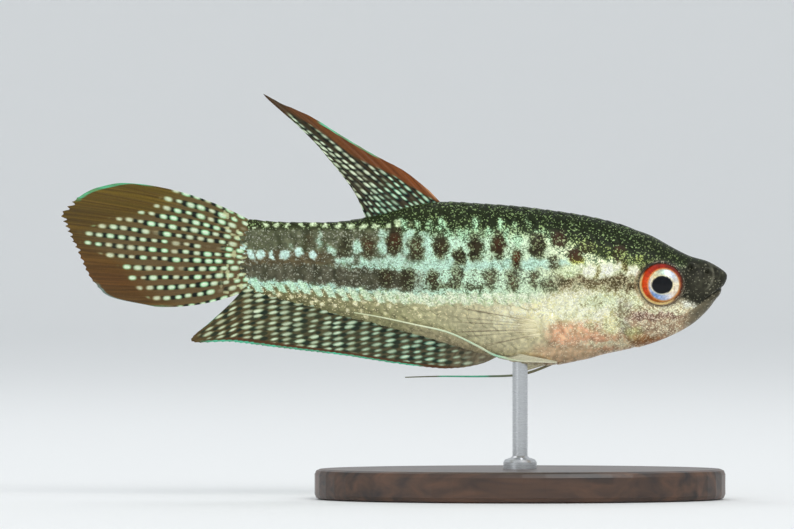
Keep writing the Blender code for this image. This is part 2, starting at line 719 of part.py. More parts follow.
def main():
    for old in list(bpy.data.objects):
        bpy.data.objects.remove(old)
    parts = new_collection("sparkling_gourami")
    cutters = new_collection("cutters")

    skin = material("skin", (0.36, 0.31, 0.22), 0.40)
    fin = material("fin_membrane", (0.42, 0.33, 0.26), 0.45)
    eye = material("eye", (0.30, 0.20, 0.16), 0.10)
    steel = material("stand_steel", (0.62, 0.62, 0.62), 0.30, 1.0)
    wood = material("stand_wood", (0.06, 0.05, 0.045), 0.45)

    for node in flesh(parts, cutters):
        finished(node, skin)
    left_eye = ellipsoid("eye_left", placed(EYE_AT[0], EYE_Y, EYE_AT[1]), EYE_RADII, 24, 14, parts)
    right_eye = mirrored(left_eye, parts)
    right_eye.name = "eye_right"
    left_pectoral = pectoral_fin(parts)
    right_pectoral = mirrored(left_pectoral, parts)
    right_pectoral.name = "pectoral_fin_right"
    fins = [
        dorsal_fin(parts),
        anal_fin(parts),
        tail_fin(parts),
        left_pectoral,
        right_pectoral,
        pelvic_fin("pelvic_fin_left", 1, LEFT_PELVIC_ROOT, LEFT_PELVIC_MARGIN, LEFT_FILAMENT, LEFT_PELVIC_Y, parts),
        pelvic_fin("pelvic_fin_right", -1, RIGHT_PELVIC_ROOT, RIGHT_PELVIC_MARGIN, RIGHT_FILAMENT, (0, 0), parts),
    ]
    for node in fins:
        finished(node, fin)
    for node in (left_eye, right_eye):
        finished(node, eye)
    finished(stand_base(parts), wood)
    finished(stand_rod(parts), steel)
    for cutter in list(cutters.objects):
        bpy.data.objects.remove(cutter)
    bpy.data.collections.remove(cutters)


main()
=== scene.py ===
"""The looks of a sparkling gourami at life size, on its display stand.

The fish faces +X, +Z is up, and its right flank faces the camera at -Y. Its outlines are (s, h) pairs in
shares of the standard length: s runs back from the tip of the snout, h is the height above its level.
Markings are placed in pixels of the photograph, where one standard length is 487 pixels.
"""

import math
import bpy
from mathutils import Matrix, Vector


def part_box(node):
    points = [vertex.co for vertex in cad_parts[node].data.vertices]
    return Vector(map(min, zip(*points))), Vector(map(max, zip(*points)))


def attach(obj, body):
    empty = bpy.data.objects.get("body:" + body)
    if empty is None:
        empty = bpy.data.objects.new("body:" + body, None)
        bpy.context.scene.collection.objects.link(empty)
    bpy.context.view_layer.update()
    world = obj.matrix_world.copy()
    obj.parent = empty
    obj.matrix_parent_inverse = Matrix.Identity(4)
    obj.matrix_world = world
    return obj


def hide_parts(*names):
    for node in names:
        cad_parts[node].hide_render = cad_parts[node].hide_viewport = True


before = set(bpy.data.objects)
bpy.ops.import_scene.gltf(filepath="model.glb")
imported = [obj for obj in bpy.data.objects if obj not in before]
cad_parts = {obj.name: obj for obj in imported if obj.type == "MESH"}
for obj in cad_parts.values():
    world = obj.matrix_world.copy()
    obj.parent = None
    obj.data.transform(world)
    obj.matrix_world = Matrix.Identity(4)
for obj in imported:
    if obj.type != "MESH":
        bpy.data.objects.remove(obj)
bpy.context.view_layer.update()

from types import SimpleNamespace

import bpy
import numpy as np
from mathutils import Vector

MM = 0.001
STANDARD_LENGTH = 32.0
SNOUT_X = 13.6
SNOUT_Z = 14.8
PIXELS = 487.0  # of the photograph, to one standard length
SNOUT_PIXEL = (727.0, 274.0)
SEED = 7

# Camera
FRAME_PIXELS = (794, 529)
CAMERA_DISTANCE = 400.0
SENSOR = 36.0

# Body
TOP = [
    (0.0, -0.004), (0.016, 0.013), (0.042, 0.027), (0.081, 0.039), (0.107, 0.052), (0.160, 0.081),
    (0.212, 0.101), (0.277, 0.118), (0.357, 0.131), (0.430, 0.140), (0.514, 0.146), (0.585, 0.149),
    (0.635, 0.143), (0.727, 0.120), (0.790, 0.109), (0.873, 0.107), (0.950, 0.110), (1.0, 0.117),
]
BOTTOM = [
    (0.0, -0.004), (0.010, -0.029), (0.042, -0.076), (0.068, -0.100), (0.107, -0.123), (0.160, -0.144),
    (0.212, -0.156), (0.250, -0.164), (0.316, -0.182), (0.374, -0.188), (0.425, -0.184), (0.466, -0.174),
    (0.548, -0.152), (0.630, -0.128), (0.795, -0.086), (0.953, -0.045), (1.0, -0.034),
]
HALF_WIDTH = [
    (0.0, 0.0), (0.010, 0.021), (0.030, 0.036), (0.060, 0.047), (0.100, 0.057), (0.160, 0.067),
    (0.220, 0.075), (0.280, 0.080), (0.360, 0.081), (0.460, 0.075), (0.600, 0.061), (0.750, 0.043),
    (0.880, 0.028), (1.0, 0.017),
]
WIDEST_SHARE = 0.52
UPPER_FULLNESS = 0.80
LOWER_FULLNESS = [(0.0, 0.80), (0.40, 0.78), (0.52, 1.0), (0.80, 1.06), (1.0, 1.0)]
STALK_NARROWS = (0.965, 1.0, 0.55)  # from s, to s, and by this share, into the root of the tail fin
STALK_ROUNDS = (0.970, 1.0, 0.16)  # the same for its height
SKIN_STATIONS = 420
SKIN_HALF_SIDES = 116
STATION_POWER = 1.5  # sets the stations closer together on the head
SECTION_STEPS = 181
GIRTH_STATIONS = 241
GIRTH_SHARES = 121

# Relief of the head: places in shares, heights, depths and widths in millimetres
SLIT = [(0.006, -0.0254), (0.0472, -0.0528)]  # of the mouth, from the front to its corner
SLIT_SIZE = (0.15, 0.055)  # depth and width
LIP_AWAY = 0.22  # from the slit
LIP_SIZE = (0.07, 0.13)
CORNER_PIT = (0.06, 0.22)
LIP_FOLD = [  # (h, s)
    (-0.035, 0.0430), (-0.0246, 0.0335), (-0.0082, 0.0262), (0.0080, 0.0265), (0.0140, 0.0290),
]
FOLD_RISE = (0.05, 0.12)
FOLD_GROOVE = (0.06, 0.08)
NOSTRILS = [(0.0430, 0.0040, 0.15), (0.0760, 0.0120, 0.19)]  # s, h, radius
NOSTRIL_DEPTH = 0.22
NOSTRIL_RIM = (0.10, 0.09)
CUT_CENTRE = (0.240, -0.0575)  # of the gill cover's rear edge, an arc that reaches this far back, up and down
CUT_REACH = 0.111
CUT_RISE = 0.189
CUT_DROP = 0.119
GILL_EDGE = 0.12
GILL_GROOVE = (0.05, 0.10)
CHEEK_AT = (0.150, -0.075)
CHEEK_RADII = (0.072, 0.085)
CHEEK_RISE = 0.06
CHEEK_GROOVE = (0.04, 0.05)  # its width as a share of the radii
JAW_LINE = [(0.03, -0.075), (0.07, -0.088), (0.12, -0.106), (0.20, -0.128)]
JAW_GROOVE = (0.05, 0.16)
SOCKET_RADIUS = 1.95  # of the groove under the eye
SOCKET_GROOVE = (0.05, 0.16)
LOBE_AT = (0.366, -0.110)  # fleshy root of the pectoral fin
LOBE_RADII = (0.62, 0.98)
LOBE_RISE = 0.32
SCALE_BED = 0.085  # the skin lies this far inside, under the scales

# Eyes
EYE_AT = (0.1375, -0.0200)
EYE_Y = 1.48
EYE_RADII = (1.50, 0.95, 1.46)
EYE_OPENING = (1.40, 1.35)  # radii of the gap in the skin
EYE_BLEND = 0.45  # from the opening's edge to where the skin keeps its own form
EYE_SIDES = (70, 120)
SOCKET_DEPTH = 0.75  # of the skin behind the eyeball
RIM_SIDES = (120, 20)
RIM_WIDTH = 0.10
RIM_HEIGHT = 0.085
SILVER_CENTRE = (0.148, -0.056)  # ahead of and above the eye's centre
SILVER_RADII = (1.022, 1.035)
PUPIL_CENTRE = (0.060, -0.065)
PUPIL_RADII = (0.67, 0.575)
IRIS_TONES = [  # angle round the eye, and colour
    (-3.14, (226, 78, 18)), (-2.6, (214, 66, 16)), (-2.1, (176, 88, 30)), (-1.5, (150, 100, 60)),
    (-0.8, (146, 88, 54)), (0.0, (130, 58, 34)), (0.8, (120, 30, 16)), (1.6, (146, 28, 10)),
    (2.3, (196, 50, 14)), (3.14, (226, 78, 18)),
]
SILVER_TONES = [  # the same round the silver ring
    (-3.14, (216, 208, 218)), (-2.3, (130, 170, 232)), (-1.6, (190, 206, 240)), (-0.7, (250, 230, 206)),
    (0.0, (250, 236, 206)), (0.9, (224, 232, 248)), (1.6, (178, 200, 186)), (2.4, (236, 220, 170)),
    (3.14, (216, 208, 218)),
]

# Scales
SCALE_PITCH = 0.80
SCALE_FRONT = 0.165
SCALE_END = 0.992
SCALE_ROWS = 13
SCALE_STEPS = 12
SCALE_REACH = 1.55  # length of a scale, in pitches
SCALE_SPREAD = 1.32  # width of a scale, in rows
SCALE_THICKNESS = 0.030
SCALE_LIFT = (0.020, 0.085)  # of its upper face above the bed, at its root and at its free edge
SCALE_BOW = 0.012  # how much the middle of a scale stands above its sides
SCALE_RIM_DROP = 0.008
SCALE_RIM_SHADE = 0.26
SCALE_UNEVEN = 0.004
SCALE_BURIED = 0.03  # where a scale runs on under bare skin
SCALE_SPLIT = 0.60  # s where each flank's scales part into a front and a rear piece
SCALE_MAP_COLUMNS = 34.0  # scales side by side on the bake map

# Fins
DORSAL_BASE = (0.580, 0.738)
DORSAL_MARGIN = [
    (0.0, 0.612, 0.172), (0.1, 0.663, 0.212), (0.2, 0.721, 0.243), (0.3, 0.789, 0.283), (0.4, 0.867, 0.330),
    (0.45, 0.916, 0.351), (0.5, 0.952, 0.370), (0.6, 0.880, 0.303), (0.7, 0.844, 0.267), (0.85, 0.811, 0.228),
    (1.0, 0.772, 0.187),
]
DORSAL_MAKE = {"rays": 15, "per_ray": 16, "rows": 130, "notch": 0.006, "branch_spread": 0.10}
ANAL_BASE = (0.472, 0.988)
ANAL_MARGIN = [
    (0.0, 0.473, -0.1705), (0.03, 0.496, -0.1815), (0.07, 0.528, -0.190), (0.12, 0.565, -0.194),
    (0.22, 0.641, -0.189), (0.4, 0.784, -0.168), (0.6, 0.918, -0.152), (0.75, 1.016, -0.140),
    (0.88, 1.101, -0.1335), (0.95, 1.062, -0.099), (1.0, 1.023, -0.064),
]
ANAL_MAKE = {"rays": 30, "per_ray": 10, "rows": 84, "notch": 0.010, "branch_spread": 0.14}
TAIL_ROOT = (0.980, 0.111, -0.032)
TAIL_MARGIN = [
    (0.0, 1.206, 0.185), (0.04, 1.248, 0.187), (0.08, 1.285, 0.180), (0.16, 1.324, 0.164),
    (0.25, 1.351, 0.144), (0.33, 1.3685, 0.123), (0.42, 1.360, 0.099), (0.52, 1.348, 0.072),
    (0.62, 1.333, 0.043), (0.72, 1.320, 0.012), (0.82, 1.300, -0.0185), (0.91, 1.266, -0.047),
    (1.0, 1.175, -0.067),
]
TAIL_MAKE = {"rays": 14, "per_ray": 16, "rows": 150, "notch": 0.017, "bow": 0.012}
TAIL_SWAY = 0.8  # of its margin, to the left, in millimetres
FIN_WAVE = 0.05
FIN_SUNK = 0.35  # of the roots on the back and belly, into the body
BRANCH_FROM = 0.45  # share of a ray's length where it parts in two
PECTORAL_ROOT_S = 0.374
PECTORAL_ROOT_H = (-0.098, -0.122)
PECTORAL_MARGIN = [
    (0.0, 0.565, -0.055), (0.25, 0.596, -0.078), (0.5, 0.598, -0.107), (0.75, 0.569, -0.136),
    (1.0, 0.487, -0.160),
]
PECTORAL_MAKE = {
    "rays": 11, "per_ray": 14, "rows": 60, "notch": 0.04, "branch_spread": 0.16, "thickens": 0.04,
}
PECTORAL_SPREAD = 13.0  # degrees out from the flank
PELVIC_MAKE = {"rays": 5, "per_ray": 12, "rows": 40, "notch": 0.05, "thickens": 0.03}
RIGHT_PELVIC_ROOT = [(0.350, -0.1785), (0.347, -0.1805)]
RIGHT_PELVIC_MARGIN = [(0.0, 0.432, -0.162), (0.5, 0.449, -0.167), (1.0, 0.466, -0.1720)]
RIGHT_FILAMENT = [
    (0.350, -0.180), (0.425, -0.177), (0.459, -0.171), (0.4825, -0.164), (0.517, -0.145), (0.574, -0.119),
    (0.641, -0.1035), (0.7125, -0.088), (0.766, -0.079),
]
LEFT_PELVIC_ROOT = [(0.352, -0.176), (0.349, -0.181)]
LEFT_PELVIC_MARGIN = [(0.0, 0.424, -0.184), (0.5, 0.440, -0.197), (1.0, 0.448, -0.2105)]
LEFT_FILAMENT = [
    (0.352, -0.182), (0.395, -0.200), (0.435, -0.209), (0.507, -0.2115), (0.589, -0.2115), (0.661, -0.2136),
]
RIGHT_PELVIC_Y = (0.0, 0.0)
LEFT_PELVIC_Y = (0.9, 2.6)
PELVIC_SUNK = 0.46  # of the roots, into the body, in millimetres
PELVIC_CLEAR = 0.22  # from the body, beyond the roots
PELVIC_TABLE_S = (0.33, 0.80, 48)
PELVIC_TABLE_H = (-0.22, -0.06, 33)
RIGHT_FILAMENT_TONES = [
    (350, (214, 222, 180)), (420, (240, 246, 210)), (470, (212, 236, 202)), (484, (228, 238, 206)),
    (496, (170, 220, 190)), (508, (222, 234, 198)), (525, (248, 244, 214)),
]
LEFT_FILAMENT_TONES = [
    (405, (136, 134, 110)), (436, (128, 132, 106)), (442, (104, 214, 172)), (486, (110, 214, 174)),
    (492, (112, 140, 112)), (520, (150, 146, 116)),
]
FILAMENT_RADII = (0.085, 0.035)
FILAMENT_SIDES = (120, 12)
MEMBRANE_HALF = 0.055
RAY_RISE = 0.075
RAY_HALF_WIDTH = 0.085
ROOT_THICKENS = 0.20

# Stand
ROD_AT = 0.425
ROD_RADIUS = 0.5
ROD_SUNK = 0.35
FOOT_RADIUS = 1.1
FOOT_HEIGHT = 0.7
ROD_SIDES = 64

# Studio, in metres
FLOOR_CENTRE_X = -0.008
FLOOR_FLAT = 0.95
FLOOR_RADIUS = 1.50
FLOOR_RISE = 0.90
FLOOR_SIDES = 128
FLOOR_COLOUR = (0.85, 0.86, 0.86, 1.0)
AIR_COLOUR = (0.94, 0.97, 1.0, 1.0)
AIR_STRENGTH = 0.84
LAMP_TARGET = (-0.004, 0.0, 0.014)
LAMPS = [  # name, place, size, power, colour
    ("key", (0.16, -0.34, 0.34), 0.24, 0.66, (1.0, 0.99, 0.96)),
    ("fill", (-0.34, -0.34, 0.14), 0.30, 0.14, (0.96, 0.98, 1.0)),
    ("rim", (-0.10, 0.16, 0.36), 0.22, 0.22, (1.0, 1.0, 1.0)),
]


def through(points):
    """A smooth curve through (position, value, ...) points, as a function of the position."""
    table = np.array(points, float)
    at, values = table[:, 0], table[:, 1:]
    slopes = np.gradient(values, at, axis=0)

    def curve(position):
        position = np.asarray(position, float)
        wanted = np.clip(position.ravel(), at[0], at[-1])
        i = np.clip(np.searchsorted(at, wanted, side="right") - 1, 0, len(at) - 2)
        step = (at[i + 1] - at[i])[:, None]
        x = (wanted - at[i])[:, None] / step
        rise = x * x * (3 - 2 * x)
        leaving = x * (1 - x) ** 2 * step
        arriving = x * x * (x - 1) * step
        found = values[i] * (1 - rise) + values[i + 1] * rise + slopes[i] * leaving + slopes[i + 1] * arriving
        if found.shape[1] == 1:
            return found.reshape(position.shape)
        return found.reshape(*position.shape, -1)

    return curve


def over_root(points):
    """A curve along the square root of s, so that the blunt snout comes out round."""
    curve = through([(math.sqrt(s), value) for s, value in points])
    return lambda s: curve(np.sqrt(np.maximum(s, 0.0)))


top_of = over_root(TOP)
bottom_of = over_root(BOTTOM)
broad_half_width = over_root(HALF_WIDTH)
lower_fullness_of = through(LOWER_FULLNESS)


def smooth(value, low, high):
    """0 up to low and 1 from high, with a soft step between; low may be the greater of the two."""
    x = np.clip((np.asarray(value, float) - low) / (high - low), 0.0, 1.0)
    return x * x * (3 - 2 * x)


def bump(value, width):
    return np.exp(-((value / width) ** 2))


def random_at(column, row, seed):
    """A repeatable random number from 0 to 1 for each pair of whole numbers."""
    mixed = np.sin(column * 127.1 + row * 311.7 + seed * 74.7) * 43758.5453
    return mixed - np.floor(mixed)


def noise(x, y, size, seed):
    """Soft noise from 0 to 1, with features of this size."""
    x, y = x / size, y / size
    column, row = np.floor(x), np.floor(y)
    across, up = x - column, y - row
    across = across * across * (3 - 2 * across)
    up = up * up * (3 - 2 * up)
    low = random_at(column, row, seed) * (1 - across) + random_at(column + 1, row, seed) * across
    high = random_at(column, row + 1, seed) * (1 - across) + random_at(column + 1, row + 1, seed) * across
    return low * (1 - up) + high * up


def linear(colour):
    """Linear light from a colour of 0 to 255 as screens show it."""
    share = np.clip(np.asarray(colour, float) / 255.0, 0.0, 1.0)
    return np.where(share <= 0.04045, share / 12.92, ((share + 0.055) / 1.055) ** 2.4)


def half_width_of(s):
    start, end, share = STALK_NARROWS
    return broad_half_width(s) * (1 - share * smooth(s, start, end))


def section(s, angle):
    """(y, h) of the skin as shares, at an angle from 0 on the back to pi on the belly."""
    top, bottom, half = top_of(s), bottom_of(s), half_width_of(s)
    middle = bottom + WIDEST_SHARE * (top - bottom)
    start, end, share = STALK_ROUNDS
    rounded = share * smooth(s, start, end) ** 2
    top, bottom = top - (top - middle) * rounded, bottom - (bottom - middle) * rounded
    along = np.cos(angle)
    h = middle + np.where(along > 0, top - middle, middle - bottom) * along
    fullness = np.where(along > 0, UPPER_FULLNESS, lower_fullness_of(s))
    return half * np.maximum(np.sin(angle), 0.0) ** fullness, h


def beside(s, h, clear):
    """The distance y in millimetres that keeps a point at (s, h) this clear of the body, in its section."""
    y, level = section(np.full(SECTION_STEPS, s), np.linspace(0.0, math.pi, SECTION_STEPS))
    drop = (level - h) * STANDARD_LENGTH
    near = np.abs(drop) <= clear
    reach = y[near] * STANDARD_LENGTH + np.sqrt(clear**2 - drop[near] ** 2)
    level_with = np.interp(-h, -level, y * STANDARD_LENGTH) + clear if bottom_of(s) < h < top_of(s) else 0.0
    return float(max([level_with, *reach]))


def girth_table():
    """Angles at equal shares of the way round each section, from the back to the belly."""
    stations = np.linspace(0.0, 1.0, GIRTH_STATIONS) ** 2
    angles = np.linspace(0.0, math.pi, GIRTH_STATIONS)
    shares = np.linspace(0.0, 1.0, GIRTH_SHARES)
    found = []
    for s in stations:
        y, h = section(np.full(angles.shape, max(s, 1e-5)), angles)
        along = np.concatenate([[0.0], np.cumsum(np.hypot(np.diff(y), np.diff(h)))])
        found.append(np.interp(shares, along / along[-1], angles))
    return np.array(found)


GIRTH = girth_table()


def between_cells(table, row, column):
    """A table's value at a broken row and column, mixed from the four values round it."""
    i, j = row.astype(int), column.astype(int)
    a, b = row - i, column - j
    low = table[i, j] * (1 - b) + table[i, j + 1] * b
    high = table[i + 1, j] * (1 - b) + table[i + 1, j + 1] * b
    return low * (1 - a) + high * a


def angle_at(s, share):
    """The angle round the section at a share of the way from the back to the belly."""
    row = np.clip(np.sqrt(np.clip(s, 0.0, 1.0)) * (len(GIRTH) - 1), 0, len(GIRTH) - 1.001)
    column = np.clip(share * (GIRTH.shape[1] - 1), 0, GIRTH.shape[1] - 1.001)
    return between_cells(GIRTH, row, column)


def placed(s, y, h):
    """Points in millimetres from the shares s and h and the distance y in millimetres."""
    s, y, h = np.broadcast_arrays(s, y, h)
    return np.stack([SNOUT_X - s * STANDARD_LENGTH, y, SNOUT_Z + h * STANDARD_LENGTH], axis=-1)


def flank_point(s, share, side):
    """A point of the bare body in millimetres, at a share of the way from the back to the belly."""
    y, h = section(s, angle_at(s, share))
    return placed(s, side * y * STANDARD_LENGTH, h)


def level_of(points):
    """The height of points in millimetres, as a share."""
    return (points[..., 2] - SNOUT_Z) / STANDARD_LENGTH


def unit(vectors):
    return vectors / np.maximum(np.linalg.norm(vectors, axis=-1, keepdims=True), 1e-12)


def flank_normal(s, share, side):
    """The direction straight out of the bare body."""
    step = 0.003
    back = flank_point(np.minimum(s + step, 1.0), share, side)
    back = back - flank_point(np.maximum(s - step, 1e-4), share, side)
    low, high = np.clip(share - step, 0.0, 1.0), np.clip(share + step, 0.0, 1.0)
    down = flank_point(s, high, side) - flank_point(s, low, side)
    return -side * unit(np.cross(back, down))


def photo_pixels(points):
    """Where points in millimetres lie in the photograph, seen square from the side."""
    x = SNOUT_PIXEL[0] - (SNOUT_X - points[..., 0]) * PIXELS / STANDARD_LENGTH
    y = SNOUT_PIXEL[1] - (points[..., 2] - SNOUT_Z) * PIXELS / STANDARD_LENGTH
    return x, y


def belly_edge(x):
    return SNOUT_PIXEL[1] - PIXELS * bottom_of((SNOUT_PIXEL[0] - x) / PIXELS)


# Markings, in pixels of the photograph
CELL = 12.2  # from one scale to the next
LOW_LINE = through([
    (230, 281), (250, 284), (300, 288), (350, 293), (400, 297), (460, 298.5), (520, 298), (560, 297),
])
BACK_LINE = through([
    (230, 238), (300, 240), (360, 239), (400, 236), (520, 235), (555, 238), (600, 255), (640, 262),
    (680, 268), (730, 285),
])
GOLD_ROWS = [(9.0, 0.85), (15.5, 0.55), (22.0, 0.3)]  # how far below the low line, and share of dots shown
STRAY_START = (4.0, 236.0)
HEAD_BLOTCHES_FROM = 552
EDGE_DOT_START = 9.0
EDGE_DOT_LINE = through([(236, 231), (262, 226), (300, 225), (340, 227), (372, 226), (410, 223)])
BLOTCHES = [  # x, y, half width, half height, share of red, how dark
    (449, 286, 12, 3.4, 0.1, 0.75), (474, 287, 10, 2.8, 0.1, 0.55),
    (309, 240, 5, 9, 0.3, 0.4), (345, 247, 5, 9, 0.1, 0.55), (368.5, 246, 6, 11, 0.6, 0.75),
    (395, 241, 8.5, 14, 0.5, 0.95), (416, 248, 8, 12.5, 0.3, 0.85), (440.5, 248, 7.0, 12, 0.2, 0.95),
    (458.5, 257, 6, 8, 0.1, 0.95), (474.3, 247.5, 6.4, 13, 0.1, 1.0), (498, 246, 7.4, 13.5, 0.4, 1.0),
    (515.8, 258, 6.0, 10.5, 0.8, 0.95), (537, 246.5, 8.0, 12, 0.1, 1.0), (558, 239, 7.5, 8, 0.4, 0.95),
    (586, 248, 7, 5.5, 0.5, 0.95), (574, 255, 7, 5, 0.5, 0.95), (618, 254, 6, 8.5, 0.7, 0.95),
    (387, 278.5, 8, 10, 0.2, 0.80), (406, 278.5, 8, 10.5, 0.1, 0.85), (433, 280, 6.5, 9, 0.2, 0.85),
    (457, 276, 6.0, 13, 0.2, 0.66), (489, 279, 6.0, 10, 0.3, 0.62), (512, 281, 6.0, 12, 0.4, 0.72),
    (533, 279, 5.0, 9.5, 0.4, 0.62), (548, 285, 8, 8, 0.4, 0.60), (553, 262, 5, 8, 0.3, 0.55),
]
REAR_DOTS = [(243, 249), (251, 254.5), (259.5, 254.5), (272, 255), (285.5, 255), (299.5, 252), (313, 255)]
NET_POINTS = [  # x, y, half width, half height, how bright: where the net reaches up into the back
    (404, 225, 4.5, 6, 0.95), (418, 225, 3.2, 4.5, 0.75), (430, 226, 3.6, 5, 0.65), (441, 224, 4.2, 6, 0.95),
    (448.5, 232, 3.2, 5, 0.8), (461, 235, 4, 5, 0.8), (468, 231, 3.2, 5, 0.8), (476, 225, 3.8, 6.5, 0.85),
    (489, 231, 4.2, 4, 0.85), (500, 225, 3.2, 6, 0.85), (506, 235, 3, 8, 0.85), (513, 226, 3, 4.5, 0.5),
    (517, 240, 4.2, 5, 0.7), (538, 232, 6.5, 3, 0.65), (551, 238, 3.4, 6, 0.65), (527, 222, 3, 5, 0.4),
]
REAR_NET = [  # x, y, half width, half height, how bright
    (384.6, 233.5, 4.8, 4.6, 0.8), (410, 233.5, 5, 4.5, 0.9), (423.5, 236, 4.5, 5.5, 0.8),
    (381.5, 246, 3.8, 7.5, 0.9), (356.5, 248, 4.4, 7, 0.95), (405.5, 246, 4.6, 9, 0.95),
    (427, 249, 4, 9, 0.9), (329.5, 248.5, 4, 4, 0.85), (333.5, 252, 3.6, 3.6, 0.7), (319, 242.5, 3, 6, 0.75),
    (319.5, 235, 2.6, 2.4, 0.5), (302, 251, 2.6, 3.6, 0.5), (340, 260, 5.4, 3.6, 0.95),
    (350, 260, 4.6, 4.2, 0.9), (363.5, 261.5, 5.6, 4.4, 1.0), (375, 261.5, 6.2, 5.2, 0.9),
    (387, 261.2, 6.2, 6, 0.9), (398.5, 261.5, 6.4, 7, 0.95), (411, 263, 6, 4.2, 0.75),
    (422, 264, 7, 5.5, 0.95), (291, 246.5, 2.6, 3, 0.4),
]
CROWDED = 3.7  # spacing of the rays in pixels, below which only every second one has spots
ANAL_DASH_PITCH = 13.0  # along the fish, in pixels
ANAL_ROW_PITCH = 5.3
ANAL_BASE_SLOPE = 0.26  # how far the fin's base falls, for each pixel towards the head
ANAL_DASH_TILT = math.radians(12)
TAIL_SPOT_REACH = through([  # x where the spots end towards the margin, from the top of the tail to its foot
    (0.0, 172), (0.10, 160), (0.2, 148), (0.3, 114), (0.38, 98), (0.44, 80), (0.5, 82), (0.56, 84),
    (0.63, 108), (0.70, 122), (0.78, 129), (0.86, 140), (0.93, 152), (1.0, 168),
])
DORSAL_PLAIN = through([  # height of the lower edge of the plain strip behind the first rays, along x
    (280, 106), (300, 118), (325, 134.8), (352, 154.7), (392, 174.6), (429, 197), (445, 205),
])

BACK_GREEN = (29, 38, 15)
BACK_GRAIN = (138, 162, 106)
MINT = (222, 255, 222)
CYAN_WHITE = (212, 248, 226)
BLOTCH = (48, 46, 29)
BLOTCH_RED = (84, 44, 26)
REAR_BAND = (74, 74, 56)
DIM_GRAIN = (156, 158, 138)
LINE = (190, 214, 164)
LINE_GRAIN = (246, 255, 224)
GOLD = (246, 238, 184)
CREAM_GRAIN = (255, 254, 228)
SALMON = (244, 190, 150)
SNOUT_GREY = (39, 39, 29)

HEAD_PATCHES = [  # x, y, half width, half height, softness, pigment, grains, density
    (584, 306, 44, 16, 0.9, (228, 223, 162), CREAM_GRAIN, 0.72),
    (570, 309, 22, 12, 1.0, (252, 250, 204), (255, 255, 226), 0.55),
    (602, 300.5, 22, 7, 0.9, (198, 202, 154), (242, 250, 214), 0.68),
    (567, 272, 10, 6, 0.9, (168, 180, 128), (238, 250, 206), 0.72),
    (595, 271.5, 17, 5.4, 0.9, (168, 170, 118), (242, 246, 206), 0.66),
    (587, 270.5, 6, 5.2, 0.8, (232, 234, 180), (255, 255, 232), 0.92),
    (604.5, 270.5, 6.8, 6.2, 0.8, (244, 244, 202), (255, 255, 238), 0.92),
    (617, 267.5, 4.2, 4.4, 0.8, (222, 222, 166), (255, 255, 228), 0.85),
    (630.5, 270.5, 6.5, 5.6, 0.8, (226, 224, 172), (255, 255, 228), 0.90),
    (623, 265, 2.6, 6.5, 0.9, (104, 92, 56), (190, 186, 130), 0.30),
    (595.5, 272, 2.2, 4.4, 0.9, (118, 108, 66), (200, 198, 146), 0.30),
    (652, 322, 40, 14, 0.8, (168, 142, 114), (238, 226, 192), 0.34),
    (631, 299, 14, 7.5, 0.9, (206, 206, 154), (252, 255, 220), 0.74),
    (622, 316, 6.5, 19, 0.9, (158, 150, 128), (218, 214, 188), 0.42),
    (609, 325, 8, 12, 0.9, (228, 219, 160), (255, 252, 208), 0.68),
    (650, 315, 30, 4.6, 0.9, (128, 100, 84), (224, 204, 180), 0.34),
    (668, 309, 24, 4.0, 0.8, (190, 174, 136), (255, 250, 214), 0.66),
    (690, 303, 10, 4.4, 0.8, (170, 166, 146), (250, 250, 232), 0.72),
    (632, 333, 9, 6, 0.9, (176, 166, 116), (226, 224, 170), 0.35),
    (572, 334, 23, 11, 1.0, SALMON, (255, 224, 190), 0.26),
    (598, 342, 20, 8, 1.0, (212, 160, 126), (248, 214, 180), 0.2),
    (566, 354, 36, 9, 0.9, (208, 178, 142), (240, 222, 188), 0.14),
    (606, 344, 26, 3.4, 0.8, (226, 208, 168), (255, 246, 214), 0.4),
    (660, 340, 30, 5, 1.0, (148, 104, 66), (214, 186, 146), 0.12),
    (638, 260.5, 6, 3.4, 1.0, (116, 118, 64), (214, 222, 124), 0.40),
    (577, 261, 7, 3.8, 1.0, (112, 112, 54), (216, 220, 118), 0.38),
]


def ramp(x, stops):
    """Colours along x, from (x, colour) stops."""
    at = [stop[0] for stop in stops]
    return np.stack([np.interp(x, at, [stop[1][k] for stop in stops]) for k in range(3)], axis=-1)


class Paint:
    """Pigment, and the tint and density of the bright grains, at each of a row of points."""

    def __init__(self, base):
        self.base = np.array(base, float)
        self.tint = np.zeros_like(self.base)
        self.density = np.zeros(len(self.base))

    def lay(self, mask, base, tint=None, density=None):
        share = mask[:, None]
        self.base += (np.asarray(base, float) - self.base) * share
        if tint is not None:
            self.tint += (np.asarray(tint, float) - self.tint) * share
        if density is not None:
            self.density += (density - self.density) * mask


def squarish(x, y, power):
    """The distance from the middle of a patch whose corners are the squarer, the higher the power."""
    return (np.abs(x) ** power + np.abs(y) ** power) ** (1 / power)


def blob(x, y, centre_x, centre_y, half_x, half_y, soft):
    """1 inside a rounded patch, falling softly to 0 round its edge."""
    away = squarish((x - centre_x) / half_x, (y - centre_y) / half_y, 2.4)
    return smooth(away, 1 + soft / 2, 1 - soft / 2)


def band(value, start, full_from, full_to, end):
    """1 from full_from to full_to, falling softly to 0 at the start and at the end."""
    return smooth(value, start, full_from) * smooth(value, end, full_to)


def ragged(value, x, y, fine, seed):
    """The value with coarse and fine noise on it, so that a marking drawn by it has a ragged edge."""
    return value + (noise(x, y, 5, seed) - 0.5) * 5 + (noise(x, y, fine, seed + 1) - 0.5) * 2.4


def jitter(column, row, seed, reach):
    """A repeatable shift for each pair of whole numbers, by up to half the reach either way."""
    return (random_at(column, row, seed) - 0.5) * reach


